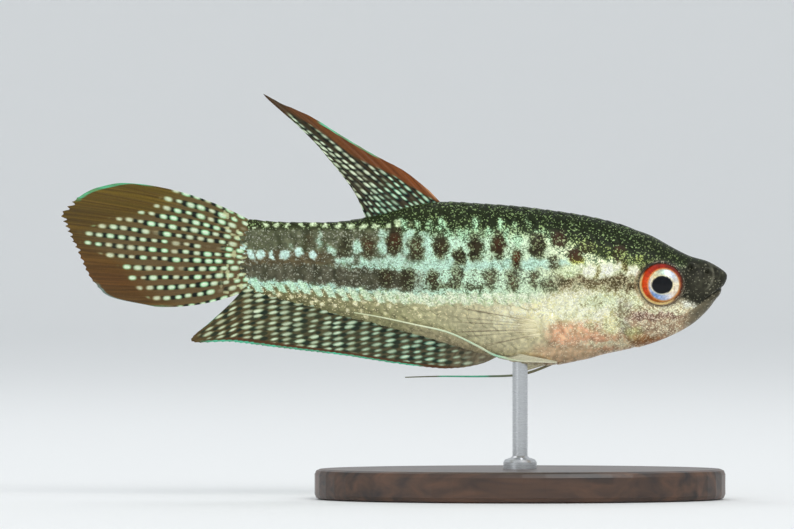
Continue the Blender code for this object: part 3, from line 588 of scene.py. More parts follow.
def paint_flank(paint, x, y):
    """Belly, flank and back of the trunk and the tail stalk."""
    rough_x, rough_y = ragged(x, x, y, 2.2, 1), ragged(y, x, y, 2.2, 3)
    flesh = ramp(x, [
        (236, (108, 98, 62)), (300, (122, 120, 82)), (400, (168, 166, 124)), (480, (206, 200, 162)),
        (545, (228, 218, 178)),
    ])
    paint.lay(np.ones_like(x), flesh, (236, 226, 180), 0.10)
    belly = smooth(belly_edge(x) - y, 16, 3) * smooth(x, 380, 460)
    paint.lay(belly, (186, 174, 138), (240, 228, 190), 0.16)
    paint.lay(blob(rough_x, rough_y, 520, 318, 30, 14, 1.2), (244, 238, 196), CREAM_GRAIN, 0.3)

    low = LOW_LINE(x)
    above = smooth(rough_y, low + 3, low - 3)
    tint = ramp(x, [(380, (206, 250, 230)), (470, MINT), (530, (230, 252, 216)), (570, (242, 250, 208))])
    patches = 0.6 * noise(x, y, 7.0, 5) + 0.4 * noise(x, y, 3.2, 32)
    patches = np.clip(0.5 + 1.25 * (patches - 0.5), 0.0, 1.0)
    flank = ramp(patches, [(0.2, (104, 126, 94)), (0.8, (154, 176, 138))])
    paint.lay(above, flank, tint, 0.50 + 0.50 * patches)
    lower_flank = above * smooth(x, 330, 420) * smooth(np.abs(rough_y - 277), 14, 6)
    paint.lay(lower_flank * 0.6, (136, 146, 124), tint, 0.50 + 0.30 * patches)
    light = above * band(x, 412, 436, 560, 590) * smooth(np.abs(rough_y - 264.5), 6.5, 3)
    paint.lay(light, (150, 184, 156), CYAN_WHITE, 0.70 + 0.28 * patches)

    back_line = BACK_LINE(x)
    back_green = ramp(x, [(240, (50, 53, 28)), (380, (38, 46, 22)), (520, BACK_GREEN), (640, BACK_GREEN)])
    clumps = 0.6 * noise(x, y, 7, 6) + 0.4 * noise(x, y, 3.4, 9)
    paint.lay(smooth(rough_y, back_line + 8, back_line - 8), back_green, BACK_GRAIN, 0.02 + 0.22 * clumps)

    streaks = noise(x, y * 0.35, 5, 7)
    rear = smooth(x, 425, 375) * smooth(rough_y, 256, 248) * smooth(y, 226, 232)
    paint.lay(rear, ramp(streaks, [(0.2, (74, 78, 54)), (0.8, (104, 108, 82))]), DIM_GRAIN, 0.16)
    rear_band = smooth(x, 440, 395) * smooth(rough_y, low - 3, low - 9) * smooth(rough_y, low - 29, low - 23)
    paint.lay(rear_band, ramp(streaks, [(0.2, REAR_BAND), (0.8, (94, 92, 74))]), DIM_GRAIN, 0.15)
    between = smooth(x, 432, 406) * smooth(np.abs(rough_y - 258), 9, 5)
    paint.lay(between, ramp(x, [(318, (96, 86, 62)), (350, (88, 92, 70))]), DIM_GRAIN, 0.14)
    for net, soft, pigment, grains, sparse, dense in (
        (REAR_NET, 0.8, (152, 188, 156), CYAN_WHITE, 0.62, 0.34),
        (NET_POINTS, 1.0, (92, 120, 84), (204, 250, 208), 0.40, 0.36),
    ):
        for *place, bright in net:
            patch = blob(rough_x, rough_y, *place, soft) * bright
            paint.lay(patch, pigment, grains, sparse + dense * patches)

    for centre_x, centre_y, half_x, half_y, red, dark in BLOTCHES:
        middle = blob(x, y, centre_x, centre_y - 1, half_x * 0.5, half_y * 0.4, 1.4) * red
        colour = ramp(middle + 0.45 * red, [(0.0, BLOTCH), (1.0, BLOTCH_RED)])
        shape = blob(rough_x, rough_y, centre_x, centre_y, half_x, half_y, 0.85) * dark
        paint.lay(shape, colour, (140, 150, 108), 0.05 + 0.18 * patches)

    dash = smooth(np.cos(2 * math.pi * (x - (y - low) * 0.55) / CELL), -0.75, -0.05)
    joined_up = smooth(x, 345, 410)
    thick = 4.4 + 1.8 * noise(x, y * 0.3, 4, 8)
    line = smooth(np.abs(rough_y - low - 0.5), thick + 1.0, thick - 1.0)
    line *= dash * (1 - joined_up) + (0.60 + 0.40 * dash) * joined_up
    line *= band(x, 232, 246, 525, 560)
    line_base = ramp(x, [(240, (150, 200, 160)), (360, (176, 208, 160)), (430, LINE)])
    line_tint = ramp(x, [(240, (210, 255, 226)), (360, (236, 255, 222)), (430, LINE_GRAIN)])
    paint.lay(line, line_base, line_tint, 0.66 + 0.30 * patches)

    for row, (below, share) in enumerate(GOLD_ROWS):
        column = np.round((x - row * CELL / 2) / CELL)
        off_x = x - row * CELL / 2 - column * CELL + jitter(column, row, 11, 4)
        off_y = y - low - below + jitter(column, row, 12, 4)
        shown = (random_at(column, row, 13) < share) * band(x, 250, 275, 425, 450)
        size = 1.1 + 1.0 * random_at(column, row, 14)
        away = np.hypot(off_x, off_y) + 0.9 * (noise(x, y, 1.6, 10) - 0.5)
        paint.lay(shown * smooth(away, size + 0.9, size - 0.6), GOLD, (255, 252, 216), 0.55)
    column = np.round((x - EDGE_DOT_START) / CELL)
    off_x = rough_x - EDGE_DOT_START - column * CELL + jitter(column, 1, 15, 3)
    off_y = rough_y - EDGE_DOT_LINE(x)
    size = 0.75 + 0.5 * random_at(column, 2, 15)
    edge_dot = smooth(np.hypot(off_x / 2.9, off_y / 2.4) / size, 1.35, 0.7) * smooth(x, 420, 400)
    paint.lay(edge_dot, (188, 208, 160), (232, 250, 208), 0.6)
    for place in REAR_DOTS:
        paint.lay(blob(rough_x, y, *place, 3.3, 4.8, 0.5), (206, 240, 222), (226, 255, 244), 0.6)
    start_x, start_y = STRAY_START
    column = np.round((x - start_x) / CELL)
    down = y - start_y - 0.5 * CELL * (column % 2)
    row = np.round(down / (CELL * 0.8))
    off_x = x - start_x - column * CELL + jitter(column, row, 16, 5)
    off_y = down - row * CELL * 0.8 + jitter(column, row, 17, 5)
    stray = (random_at(column, row, 18) < 0.55) * smooth(np.hypot(off_x, off_y), 2.6, 1.2)
    paint.lay(stray * smooth(x, 252, 240) * 0.9, (196, 216, 170), (232, 250, 212), 0.5)


def paint_head(paint, x, y):
    """Snout, cheek, gill cover and nape, over the flank's markings."""
    rough_x, rough_y = ragged(x, x, y, 2, 21), ragged(y, x, y, 2, 23)
    lower = smooth(rough_x, 540, 556) * smooth(rough_y, 288, 296)
    face = ramp(y, [(296, (190, 180, 146)), (330, (176, 146, 114)), (352, (176, 142, 112))])
    paint.lay(lower, face, (244, 234, 198), 0.36)
    stripe = band(rough_x, 538, 556, 640, 648) * smooth(np.abs(rough_y - 270), 8.5, 4.5)
    paint.lay(stripe * 0.6, (150, 156, 112), (236, 242, 200), 0.55)
    broken = noise(x, y, 7, 25)
    dark = smooth(rough_x, 546, 566) * smooth(x, 652, 640) * smooth(np.abs(rough_y - 283.0), 11.0, 6.5)
    dark *= 0.72 + 0.28 * smooth(broken, 0.9, 0.4)
    stripe_base = ramp(broken, [(0.15, (76, 66, 42)), (0.5, (108, 92, 66)), (0.9, (122, 118, 86))])
    paint.lay(dark, stripe_base, (196, 186, 146), 0.18 + 0.34 * broken)
    for *place, pigment, grains, density in HEAD_PATCHES:
        paint.lay(blob(rough_x, rough_y, *place), pigment, grains, density)
    gaps = smooth(noise(x, y, 5, 28), 0.50, 0.74) * blob(x, y, 606, 311, 44, 24, 1.0)
    paint.lay(gaps * 0.5, (142, 134, 92), (232, 236, 188), 0.42)
    for *place, red, dark in BLOTCHES:
        if place[0] > HEAD_BLOTCHES_FROM:
            colour = np.array(BLOTCH) * (1 - red) + np.array(BLOTCH_RED) * red
            paint.lay(blob(rough_x, rough_y, *place, 0.7) * dark * 0.8, colour, density=0.16)

    snout = smooth(rough_x + (y - 280) * 0.55, 668, 682) * smooth(y - 0.45 * (x - 690), 306, 298)
    paint.lay(snout, SNOUT_GREY, (122, 120, 100), 0.06)
    paint.lay(snout * blob(x, y, 702, 284, 14, 12, 1.4) * 0.6, (70, 68, 56), (132, 130, 110), 0.08)
    creases = smooth(noise(x + 0.5 * y, y - 0.9 * x, 4.2, 26) + 0.3 * noise(x, y, 1.7, 27), 0.70, 1.0)
    paint.lay(snout * creases * smooth(x, 684, 696) * 0.4, (92, 92, 76), (140, 138, 118), 0.08)
    crown = smooth(rough_y, 266, 256) * smooth(x, 628, 650)
    paint.lay(crown, (31, 38, 19), (112, 126, 82), 0.20 - 0.13 * smooth(x, 655, 690))
    nape_glitter = smooth(np.abs(rough_y - 0.33 * (x - 600) - 250), 9, 4) * band(x, 560, 590, 650, 672)
    paint.lay(nape_glitter * 0.7, (44, 52, 24), (146, 162, 92), 0.26)
    fold_x = SNOUT_PIXEL[0] - PIXELS * through(LIP_FOLD)((SNOUT_PIXEL[1] - y) / PIXELS)
    on_fold = smooth(np.abs(x - fold_x + 2.0), 2.2, 0.6) * band(y, 266, 270, 287, 291)
    paint.lay(on_fold * 0.7, (112, 110, 94), (150, 148, 130), 0.1)
    slit_side = (y - 286.4) * 0.831 + (x - 725) * 0.556
    jaw = smooth(slit_side, -0.5, 1.0) * smooth(x, 676, 694)
    tones = [(676, (142, 118, 90)), (692, (120, 110, 88)), (704, (98, 92, 74)), (722, (62, 59, 46))]
    paint.lay(jaw, ramp(x, tones), (164, 156, 132), 0.08)
    eye_x, eye_y = SNOUT_PIXEL[0] - EYE_AT[0] * PIXELS, SNOUT_PIXEL[1] - EYE_AT[1] * PIXELS
    round_eye = smooth(np.hypot(x - eye_x, y - eye_y), 27, 20.5)
    paint.lay(round_eye * 0.75, (66, 60, 50), (140, 134, 116), 0.16)


def with_alpha(colour, alpha=1.0):
    """Linear light and opacity, from a colour of 0 to 255."""
    alpha = np.broadcast_to(np.clip(alpha, 0, 1), len(colour))
    return np.concatenate([linear(colour), alpha[:, None]], axis=1)


def painted(points):
    """Pigment and grains, in linear light, at points in millimetres."""
    x, y = photo_pixels(points.reshape(-1, 3))
    paint = Paint(np.zeros((len(x), 3)))
    paint_flank(paint, x, y)
    paint_head(paint, x, y)
    mottle = 0.84 + 0.32 * noise(x, y, 2.6, 31)
    return with_alpha(paint.base * mottle[:, None]), with_alpha(paint.tint, paint.density)


# Meshes


def full_turn(count):
    return np.linspace(0.0, 2 * math.pi, count, endpoint=False)


def ring_quads(rows, columns, closed=False):
    """Quads between rings of points; closed joins the last ring to the first."""
    at = np.arange(rows * columns).reshape(rows, columns)
    if closed:
        at = np.concatenate([at, at[:1]])
    after = np.roll(at, -1, axis=1)
    return np.stack([at[:-1], after[:-1], after[1:], at[1:]], -1).reshape(-1, 4)


def ring_caps(rows, columns):
    """Triangles from two further points, the start's and the end's, to the first and the last ring."""
    ring = np.arange(columns)
    after = np.roll(ring, -1)
    start, last = rows * columns, (rows - 1) * columns
    low = np.stack([np.full(columns, start), after, ring], 1)
    high = np.stack([np.full(columns, start + 1), last + ring, last + after], 1)
    return np.concatenate([low, high])


def ring_map(rows, columns, place):
    """Corners of the quads between rings on the bake map, from place(row, column)."""
    i, j = np.divmod(np.arange(rows * columns), columns)
    corners = [(i, j), (i, j + 1), (i + 1, j + 1), (i + 1, j)]
    return np.stack([np.stack(place(*corner), 1) for corner in corners], 1)


def sheet_faces(rows, columns):
    """Quads of a closed sheet: a grid of points, a second grid behind it, and the side round their edge."""
    at = np.arange(rows * columns).reshape(rows, columns)
    grid = np.stack([at[:-1, :-1], at[:-1, 1:], at[1:, 1:], at[1:, :-1]], -1).reshape(-1, 4)
    edge = np.concatenate([at[0], at[1:, -1], at[-1, -2::-1], at[-2:0:-1, 0]])
    after = np.roll(edge, -1)
    side = np.stack([edge, edge + at.size, after + at.size, after], 1)
    return np.concatenate([grid, grid[:, ::-1] + at.size, side])


def added(name, data):
    """A new object in the scene."""
    made = bpy.data.objects.new(name, data)
    bpy.context.scene.collection.objects.link(made)
    return made


def mesh_piece(name, points, quads, quad_uv, caps=None, cap_uv=None, **colours):
    """An object from points in millimetres, with its faces turned out and the map that bakes use."""
    caps = np.zeros((0, 3), int) if caps is None else caps
    cap_uv = np.zeros((len(caps), 3, 2)) if cap_uv is None else cap_uv
    corners = np.concatenate([quads[:, [0, 1, 2]], quads[:, [0, 2, 3]], caps])
    a, b, c = (points[corners[:, k]] - points.mean(axis=0) for k in range(3))
    if np.einsum("ij,ij->", a, np.cross(b, c)) < 0:
        quads, quad_uv, caps, cap_uv = (part[:, ::-1] for part in (quads, quad_uv, caps, cap_uv))
    mesh = bpy.data.meshes.new(name)
    mesh.from_pydata((points * MM).tolist(), [], quads.tolist() + caps.tolist())
    layer = mesh.uv_layers.new(name="OFBake")
    corner_uv = np.concatenate([quad_uv.reshape(-1, 2), cap_uv.reshape(-1, 2)])
    layer.data.foreach_set("uv", corner_uv.astype(np.float32).ravel())
    for attribute, values in colours.items():
        data = mesh.attributes.new(attribute, "FLOAT_COLOR", "POINT")
        data.data.foreach_set("color", values.astype(np.float32).ravel())
    mesh.shade_smooth()
    return added(name, mesh)


def with_ends(values):
    """Values of rings of points, with the first and the last repeated for the two points of the caps."""
    return np.concatenate([values, values[:1], values[-1:]])


def finish_piece(piece, material, slot, *nodes):
    piece.data.materials.clear()
    piece.data.materials.append(material)
    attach(piece, "root")
    if nodes:
        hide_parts(*nodes)
    return piece


# Materials


class Surface:
    """A material with its shader, and short ways to add nodes to it."""

    def __init__(self, name, roughness, metallic=0.0, coat=0.0, coat_roughness=0.1, specular=0.5):
        self.material = bpy.data.materials.new(name)
        self.material.use_nodes = True
        self.tree = self.material.node_tree
        self.shader = self.tree.nodes["Principled BSDF"]
        for socket, value in (
            ("Roughness", roughness), ("Metallic", metallic), ("Coat Weight", coat),
            ("Coat Roughness", coat_roughness), ("Specular IOR Level", specular),
        ):
            self.set(socket, value)

    def put(self, socket, value):
        """A value, or what another node gives out, into a socket."""
        if isinstance(value, bpy.types.NodeSocket):
            self.tree.links.new(value, socket)
        else:
            socket.default_value = value

    def set(self, name, value):
        self.put(self.shader.inputs[name], value)

    def node(self, kind, sockets=None, **options):
        made = self.tree.nodes.new(kind)
        for name, option in options.items():
            setattr(made, name, option)
        for name, value in (sockets or {}).items():
            self.put(made.inputs[name], value)
        return made

    def maths(self, operation, *values):
        made = self.node("ShaderNodeMath", operation=operation)
        for socket, value in zip(made.inputs, values):
            self.put(socket, value)
        return made.outputs["Value"]

    def spread(self, value, gain, least):
        """least + gain * value"""
        return self.maths("ADD", self.maths("MULTIPLY", value, gain), least)

    def attribute(self, name):
        return self.node("ShaderNodeAttribute", attribute_name=name)

    def scaled(self, colour, factor):
        made = self.node("ShaderNodeVectorMath", {"Vector": colour, "Scale": factor}, operation="SCALE")
        return made.outputs["Vector"]

    def place(self):
        return self.node("ShaderNodeTexCoord").outputs["Object"]

    def cells(self, size):
        """Random grains of this size in millimetres: (red, green, distance from the grain's middle)."""
        made = self.node("ShaderNodeTexVoronoi", {"Scale": 1 / (size * MM), "Vector": self.place()})
        parts = self.node("ShaderNodeSeparateColor", {"Color": made.outputs["Color"]})
        return parts.outputs["Red"], parts.outputs["Green"], made.outputs["Distance"]

    def noise(self, size):
        """Soft noise with features of this size in millimetres."""
        sockets = {"Scale": 1 / (size * MM), "Detail": 2.0, "Vector": self.place()}
        return self.node("ShaderNodeTexNoise", sockets).outputs["Fac"]

    def fibres(self, stretch, **sockets):
        """Noise drawn out into fibres, by how fine it is along x, y and z."""
        stretched = self.node("ShaderNodeMapping", {"Scale": stretch, "Vector": self.place()})
        sockets.update({"Scale": 1.0, "Vector": stretched.outputs["Vector"]})
        return self.node("ShaderNodeTexNoise", sockets).outputs["Fac"]

    def bump(self, height, strength, distance):
        sockets = {"Strength": strength, "Distance": distance * MM, "Height": height}
        self.set("Normal", self.node("ShaderNodeBump", sockets).outputs["Normal"])


GRAINS = ((0.076, 1.0), (0.135, 0.45))  # millimetres across, and the share of the density they come in


def flesh_material():
    """Pigment with bright grains in it, each grain a flat fleck that shines."""
    made = Surface("sparkling_skin", 0.42, 0.0, 0.04, 0.2, 0.10)
    shine = made.attribute("shine")
    density = shine.outputs["Alpha"]
    masks, tones = [], []
    for size, share in GRAINS:
        red, green, distance = made.cells(size)
        present = made.maths("LESS_THAN", red, made.maths("MULTIPLY", density, share))
        packed = made.maths("SUBTRACT", 1.0, made.maths("MULTIPLY", density, 0.35))
        core = made.node("ShaderNodeMapRange", {
            "From Min": 0.72, "From Max": 0.42, "Value": made.maths("MULTIPLY", distance, packed),
        }, interpolation_type="SMOOTHSTEP")
        masks.append(made.maths("MULTIPLY", present, core.outputs["Result"]))
        tones.append(green)
    mask = made.maths("MAXIMUM", *masks)
    bright = made.scaled(shine.outputs["Color"], made.spread(tones[0], 0.55, 0.62))
    ground = made.scaled(made.attribute("base").outputs["Color"], made.spread(made.noise(0.30), 0.5, 0.75))
    colour = made.node("ShaderNodeMix", data_type="RGBA")
    for socket, value in (("Factor", mask), ("A", ground), ("B", bright)):
        made.put(colour.inputs[socket], value)
    made.set("Base Color", colour.outputs["Result"])
    made.set("Metallic", made.maths("MULTIPLY", mask, 0.30))
    made.set("Roughness", made.maths("SUBTRACT", 0.46, made.maths("MULTIPLY", mask, 0.18)))
    made.bump(made.maths("ADD", made.maths("MULTIPLY", tones[0], mask), made.noise(0.16)), 0.35, 0.02)
    return made.material


def fin_material():
    made = Surface("fin_membrane", 0.40, 0.0, 0.05, 0.2, 0.2)
    base = made.attribute("base")
    made.set("Base Color", made.scaled(base.outputs["Color"], made.spread(made.noise(0.09), 0.5, 0.75)))
    made.set("Alpha", base.outputs["Alpha"])
    made.bump(made.noise(0.12), 0.25, 0.02)
    return made.material


def eye_material():
    made = Surface("eye", 0.30, 0.0, 0.28, 0.03, 0.12)
    base = made.attribute("base")
    grain, _, _ = made.cells(0.07)
    made.set("Base Color", made.scaled(base.outputs["Color"], made.spread(grain, 0.4, 0.8)))
    made.set("Metallic", made.maths("MULTIPLY", base.outputs["Alpha"], 0.35))
    return made.material


def wood_material():
    """Dark stained wood with long grain along the base."""
    made = Surface("stand_wood", 0.42, 0.0, 0.35, 0.25)
    fibres = made.fibres((120.0, 1500.0, 900.0), Detail=6.0, Distortion=0.6)
    colours = made.node("ShaderNodeValToRGB", {"Fac": fibres})
    for stop, position, tone in zip(colours.color_ramp.elements, (0.32, 0.70), ((34, 23, 17), (92, 62, 42))):
        stop.position = position
        stop.color = (*linear(tone), 1.0)
    made.set("Base Color", colours.outputs["Color"])
    made.bump(fibres, 0.25, 0.05)
    return made.material


def steel_material():
    """Brushed steel, with fine rings round the rod."""
    made = Surface("stand_steel", 0.28, 1.0)
    made.set("Base Color", (*linear((196, 198, 200)), 1.0))
    rings = made.fibres((400.0, 400.0, 14000.0))
    made.set("Roughness", made.spread(rings, 0.2, 0.18))
    made.bump(rings, 0.12, 0.02)
    return made.material


# Skin


def beyond_eye(points):
    """How far points lie outside the eye's opening, across the flank, in millimetres."""
    centre = placed(EYE_AT[0], 0.0, EYE_AT[1])
    across, up = points[..., 0] - centre[0], points[..., 2] - centre[2]
    return (np.hypot(across / EYE_OPENING[0], up / EYE_OPENING[1]) - 1) * EYE_OPENING[1]


def opening_level():
    """How far from the fish's middle the eyeball passes through its opening, in millimetres."""
    return EYE_Y + EYE_RADII[1] * math.sqrt(1 - (EYE_OPENING[0] / EYE_RADII[0]) ** 2)


def behind_gill(s, h):
    """How far behind the gill cover's edge, in millimetres, and how far up or down along it, from -1 to 1."""
    cut_s, cut_h = CUT_CENTRE
    upright = (h - cut_h) / np.where(h > cut_h, CUT_RISE, CUT_DROP)
    behind = (np.hypot(np.maximum(s - cut_s, 0) / CUT_REACH, upright) - 1) * CUT_REACH * STANDARD_LENGTH
    return behind, upright


def ridge(away, size):
    """A soft ridge of this height and width, along the line where away is 0."""
    height, width = size
    return height * bump(away, width)


def relief(s, h):
    """How far the skin stands out of the plain body, in millimetres."""
    rise = np.zeros_like(s)
    (front_s, front_h), (back_s, back_h) = SLIT
    length = math.hypot(back_s - front_s, back_h - front_h)
    along_s, along_h = (back_s - front_s) / length, (back_h - front_h) / length
    along = ((s - front_s) * along_s + (h - front_h) * along_h) / length
    off = ((h - front_h) * along_s - (s - front_s) * along_h) * STANDARD_LENGTH
    inside = smooth(along, 1.08, 0.92) * (0.25 + 0.75 * smooth(along, 0.0, 0.30))
    rise -= ridge(off, SLIT_SIZE) * inside
    lips = smooth(along, 1.15, 0.7) * smooth(along, -0.05, 0.25)
    rise += ridge(np.abs(off) - LIP_AWAY, LIP_SIZE) * lips
    rise -= ridge(np.hypot(s - back_s - 0.004, h - back_h + 0.003) * STANDARD_LENGTH, CORNER_PIT)
    on_fold = smooth(h, -0.040, -0.030) * smooth(h, 0.017, 0.010)
    behind_fold = (s - through(LIP_FOLD)(h)) * STANDARD_LENGTH
    rise += on_fold * (ridge(behind_fold + 0.16, FOLD_RISE) - ridge(behind_fold, FOLD_GROOVE))
    for nostril_s, nostril_h, radius in NOSTRILS:
        away = np.hypot(s - nostril_s, h - nostril_h) * STANDARD_LENGTH
        rise += ridge(away - radius * 1.25, NOSTRIL_RIM) - NOSTRIL_DEPTH * bump(away, radius * 0.85)
    behind, upright = behind_gill(s, h)
    rear = smooth(np.abs(upright), 0.72, 0.45) * (s > CUT_CENTRE[0])
    rise += GILL_EDGE * smooth(behind, 0.06, -0.02) * smooth(behind, -1.6, -0.1) * rear
    rise -= ridge(behind - 0.10, GILL_GROOVE) * rear
    cheek = np.hypot((s - CHEEK_AT[0]) / CHEEK_RADII[0], (h - CHEEK_AT[1]) / CHEEK_RADII[1])
    fold = smooth(s, 0.16, 0.20) * smooth(h, 0.0, -0.03)
    rise += CHEEK_RISE * smooth(cheek, 1.04, 0.98) * smooth(cheek, 0.6, 0.95) * fold
    rise -= ridge(cheek - 1.06, CHEEK_GROOVE) * fold
    below_jaw = (h - through(JAW_LINE)(s)) * STANDARD_LENGTH
    rise -= ridge(below_jaw, JAW_GROOVE) * smooth(s, 0.045, 0.07) * smooth(s, 0.22, 0.17)
    from_eye = np.hypot(s - EYE_AT[0], h - EYE_AT[1]) * STANDARD_LENGTH
    rise -= ridge(from_eye - SOCKET_RADIUS, SOCKET_GROOVE) * smooth(h, EYE_AT[1], EYE_AT[1] - 0.03)
    lobe = ((s - LOBE_AT[0]) * STANDARD_LENGTH / LOBE_RADII[0]) ** 2
    lobe += ((h - LOBE_AT[1]) * STANDARD_LENGTH / LOBE_RADII[1]) ** 2
    return rise + LOBE_RISE * np.sqrt(np.clip(1 - lobe, 0, 1))


def scaled_share(s, h):
    """1 where scales cover the skin, and 0 on the bare head and on the lobes of the pectoral fins."""
    body = smooth(behind_gill(s, h)[0], 0.0, 1.0)
    nape = smooth(h - 0.030 - 0.25 * (0.2 - s), 0.0, 0.030)
    nape = nape * smooth(s, SCALE_FRONT - 0.015, SCALE_FRONT + 0.045)
    lobe = np.hypot((s - LOBE_AT[0]) * STANDARD_LENGTH / 1.2, (h - LOBE_AT[1]) * STANDARD_LENGTH / 1.5)
    return np.maximum(body, nape) * smooth(lobe, 0.7, 1.35)


def skin(material):
    """One skin over the whole body, from the lips to the root of the tail fin."""
    stations = (np.arange(1, SKIN_STATIONS + 1) / SKIN_STATIONS) ** STATION_POWER
    half = SKIN_HALF_SIDES
    ring = np.arange(2 * half)
    share = np.where(ring <= half, ring, 2 * half - ring) / half
    s, share = np.meshgrid(stations, share, indexing="ij")
    side = np.broadcast_to(np.where(ring <= half, -1.0, 1.0), s.shape)
    points = flank_point(s, share, side)
    h = level_of(points)
    down = np.roll(points, -1, axis=1) - np.roll(points, 1, axis=1)
    normals = unit(np.cross(down, np.gradient(points, axis=0)))
    normals *= -np.sign(normals[:, half // 2, 1].sum())
    rise = relief(s, h) - SCALE_BED * scaled_share(s, h)
    base, shine = painted(points)
    points = points + normals * rise[..., None]

    beyond, level = beyond_eye(points), opening_level()
    outside = np.abs(points[..., 1])
    near = smooth(beyond, EYE_BLEND, 0.0)
    wanted = outside * (1 - near) + level * near
    sunk = smooth(beyond, -0.02, -0.22)
    wanted = wanted * (1 - sunk) + (level - SOCKET_DEPTH) * sunk
    by_the_eye = (outside > 1.0) & (beyond < EYE_BLEND)
    points[..., 1] = np.where(by_the_eye, np.sign(points[..., 1]) * wanted, points[..., 1])

    rows, columns = s.shape
    tip, end = placed(0.0, 0.0, TOP[0][1]), points[-1].mean(axis=0)
    around = 0.005 + 0.99 * np.arange(columns + 1) / columns
    middle, here, after = (around[:-1] + around[1:]) / 2, around[:-1], around[1:]
    cap_v = np.concatenate([np.stack([middle, after, here], 1), np.stack([middle, here, after], 1)])
    cap_u = np.repeat([[0.0, 0.01, 0.01], [1.0, 0.99, 0.99]], columns, axis=0)
    quad_uv = ring_map(rows - 1, columns, lambda i, j: (0.01 + 0.98 * (i / (rows - 1)), around[j]))
    made = mesh_piece(
        "skin", np.concatenate([points.reshape(-1, 3), [tip, end]]), ring_quads(rows, columns), quad_uv,
        ring_caps(rows, columns), np.stack([cap_u, cap_v], -1), base=with_ends(base), shine=with_ends(shine),
    )
    flesh = ["head", "lower_jaw", "gill_cover_left", "gill_cover_right", "trunk", "tail_stalk"]
    finish_piece(made, material, "skin", *flesh)


# Scales


def scale_places():
    """(s, share of the way down the flank, column, row) of each scale's root."""
    found = []
    for column in range(int(STANDARD_LENGTH / SCALE_PITCH) + 2):
        for row in range(SCALE_ROWS):
            s = SCALE_FRONT + (column + 0.5 * (row % 2)) * SCALE_PITCH / STANDARD_LENGTH
            share = (row + 0.5) / SCALE_ROWS
            if s > SCALE_END:
                continue
            h = level_of(flank_point(np.array(s), np.array(share), 1.0))
            if scaled_share(np.array(s), h) > 0.5:
                found.append((s, share, column, row))
    return found


def scales(name, places, side, material):
    """Thin overlapping plates, each lying back along the body with its free edge raised."""
    n = SCALE_STEPS + 1
    a, b = np.meshgrid(np.linspace(0.0, 1.0, n), np.linspace(-1.0, 1.0, n), indexing="ij")
    outline = np.sqrt(np.clip(1 - np.clip((a - 0.42) / 0.58, 0, 1) ** 2.3, 0.0, 1))
    across = b * (outline * np.sqrt(np.clip(a / 0.30, 0.25, 1)))
    rim = np.maximum(smooth(a, 0.86, 1.0), smooth(np.abs(b), 0.80, 1.0) * smooth(a, 0.25, 0.5))
    low, high = SCALE_LIFT
    rng = np.random.default_rng(SEED + int(side))
    tops, unders, uvs = [], [], []
    for s, share, column, row in places:
        length = SCALE_PITCH * SCALE_REACH / STANDARD_LENGTH * rng.uniform(0.96, 1.04)
        here = np.clip(s + (a - 0.15) * length, 1e-4, 1.0)
        at = np.clip(share + across * (SCALE_SPREAD / SCALE_ROWS / 2), 0.0, 1.0)
        ground = flank_point(here, at, side)
        normal = flank_normal(here, at, side)
        lift = low + (high - low) * a**1.3 + SCALE_BOW * (1 - across**2) - SCALE_RIM_DROP * rim
        lift = lift + rng.uniform(-SCALE_UNEVEN, SCALE_UNEVEN)
        bed = scaled_share(here, level_of(ground))
        grown = smooth(bed, 0.35, 1.0)
        lift = lift * grown - SCALE_BURIED * (1 - grown) - SCALE_BED * bed
        thickness = SCALE_THICKNESS * (1 - 0.6 * rim)
        tops.append(ground + normal * lift[..., None])
        unders.append(ground + normal * (lift - thickness)[..., None])
        cell_u = (column + 0.5 * (row % 2) + 0.1 + 0.8 * a) / SCALE_MAP_COLUMNS
        cell_v = (row + 0.08 + 0.84 * (b + 1) / 2) / SCALE_ROWS
        uvs.append(np.stack([cell_u, cell_v], axis=-1))
    count, per = len(places), n * n
    tops, unders, uvs = (np.array(part).reshape(count, per, -1) for part in (tops, unders, uvs))
    quads = (sheet_faces(n, n)[None] + (np.arange(count) * 2 * per)[:, None, None]).reshape(-1, 4)
    points = np.concatenate([tops, unders], axis=1).reshape(-1, 3)
    point_uv = np.concatenate([uvs, uvs], axis=1).reshape(-1, 2)
    base, shine = painted(np.concatenate([tops, tops], axis=1).reshape(-1, 3))
    shade = 1 - SCALE_RIM_SHADE * np.tile(rim.ravel(), 2 * count)
    base[:, :3] *= shade[:, None]
    shine[:, 3] *= shade
    finish_piece(mesh_piece(name, points, quads, point_uv[quads], base=base, shine=shine), material, "skin")


# Fins


def ray_crest(v, u, rays, spacing, branch_spread):
    """1 on the line of a ray, falling to 0 beside it; soft rays part in two towards the margin."""
    position = v * (rays - 1)
    off = (position - np.round(position)) * spacing
    parting = np.clip((u - BRANCH_FROM) / (1 - BRANCH_FROM), 0, 1) * branch_spread * spacing
    width = RAY_HALF_WIDTH * (1 - 0.45 * u)
    return np.maximum(bump(off - parting, width), bump(off + parting, width))


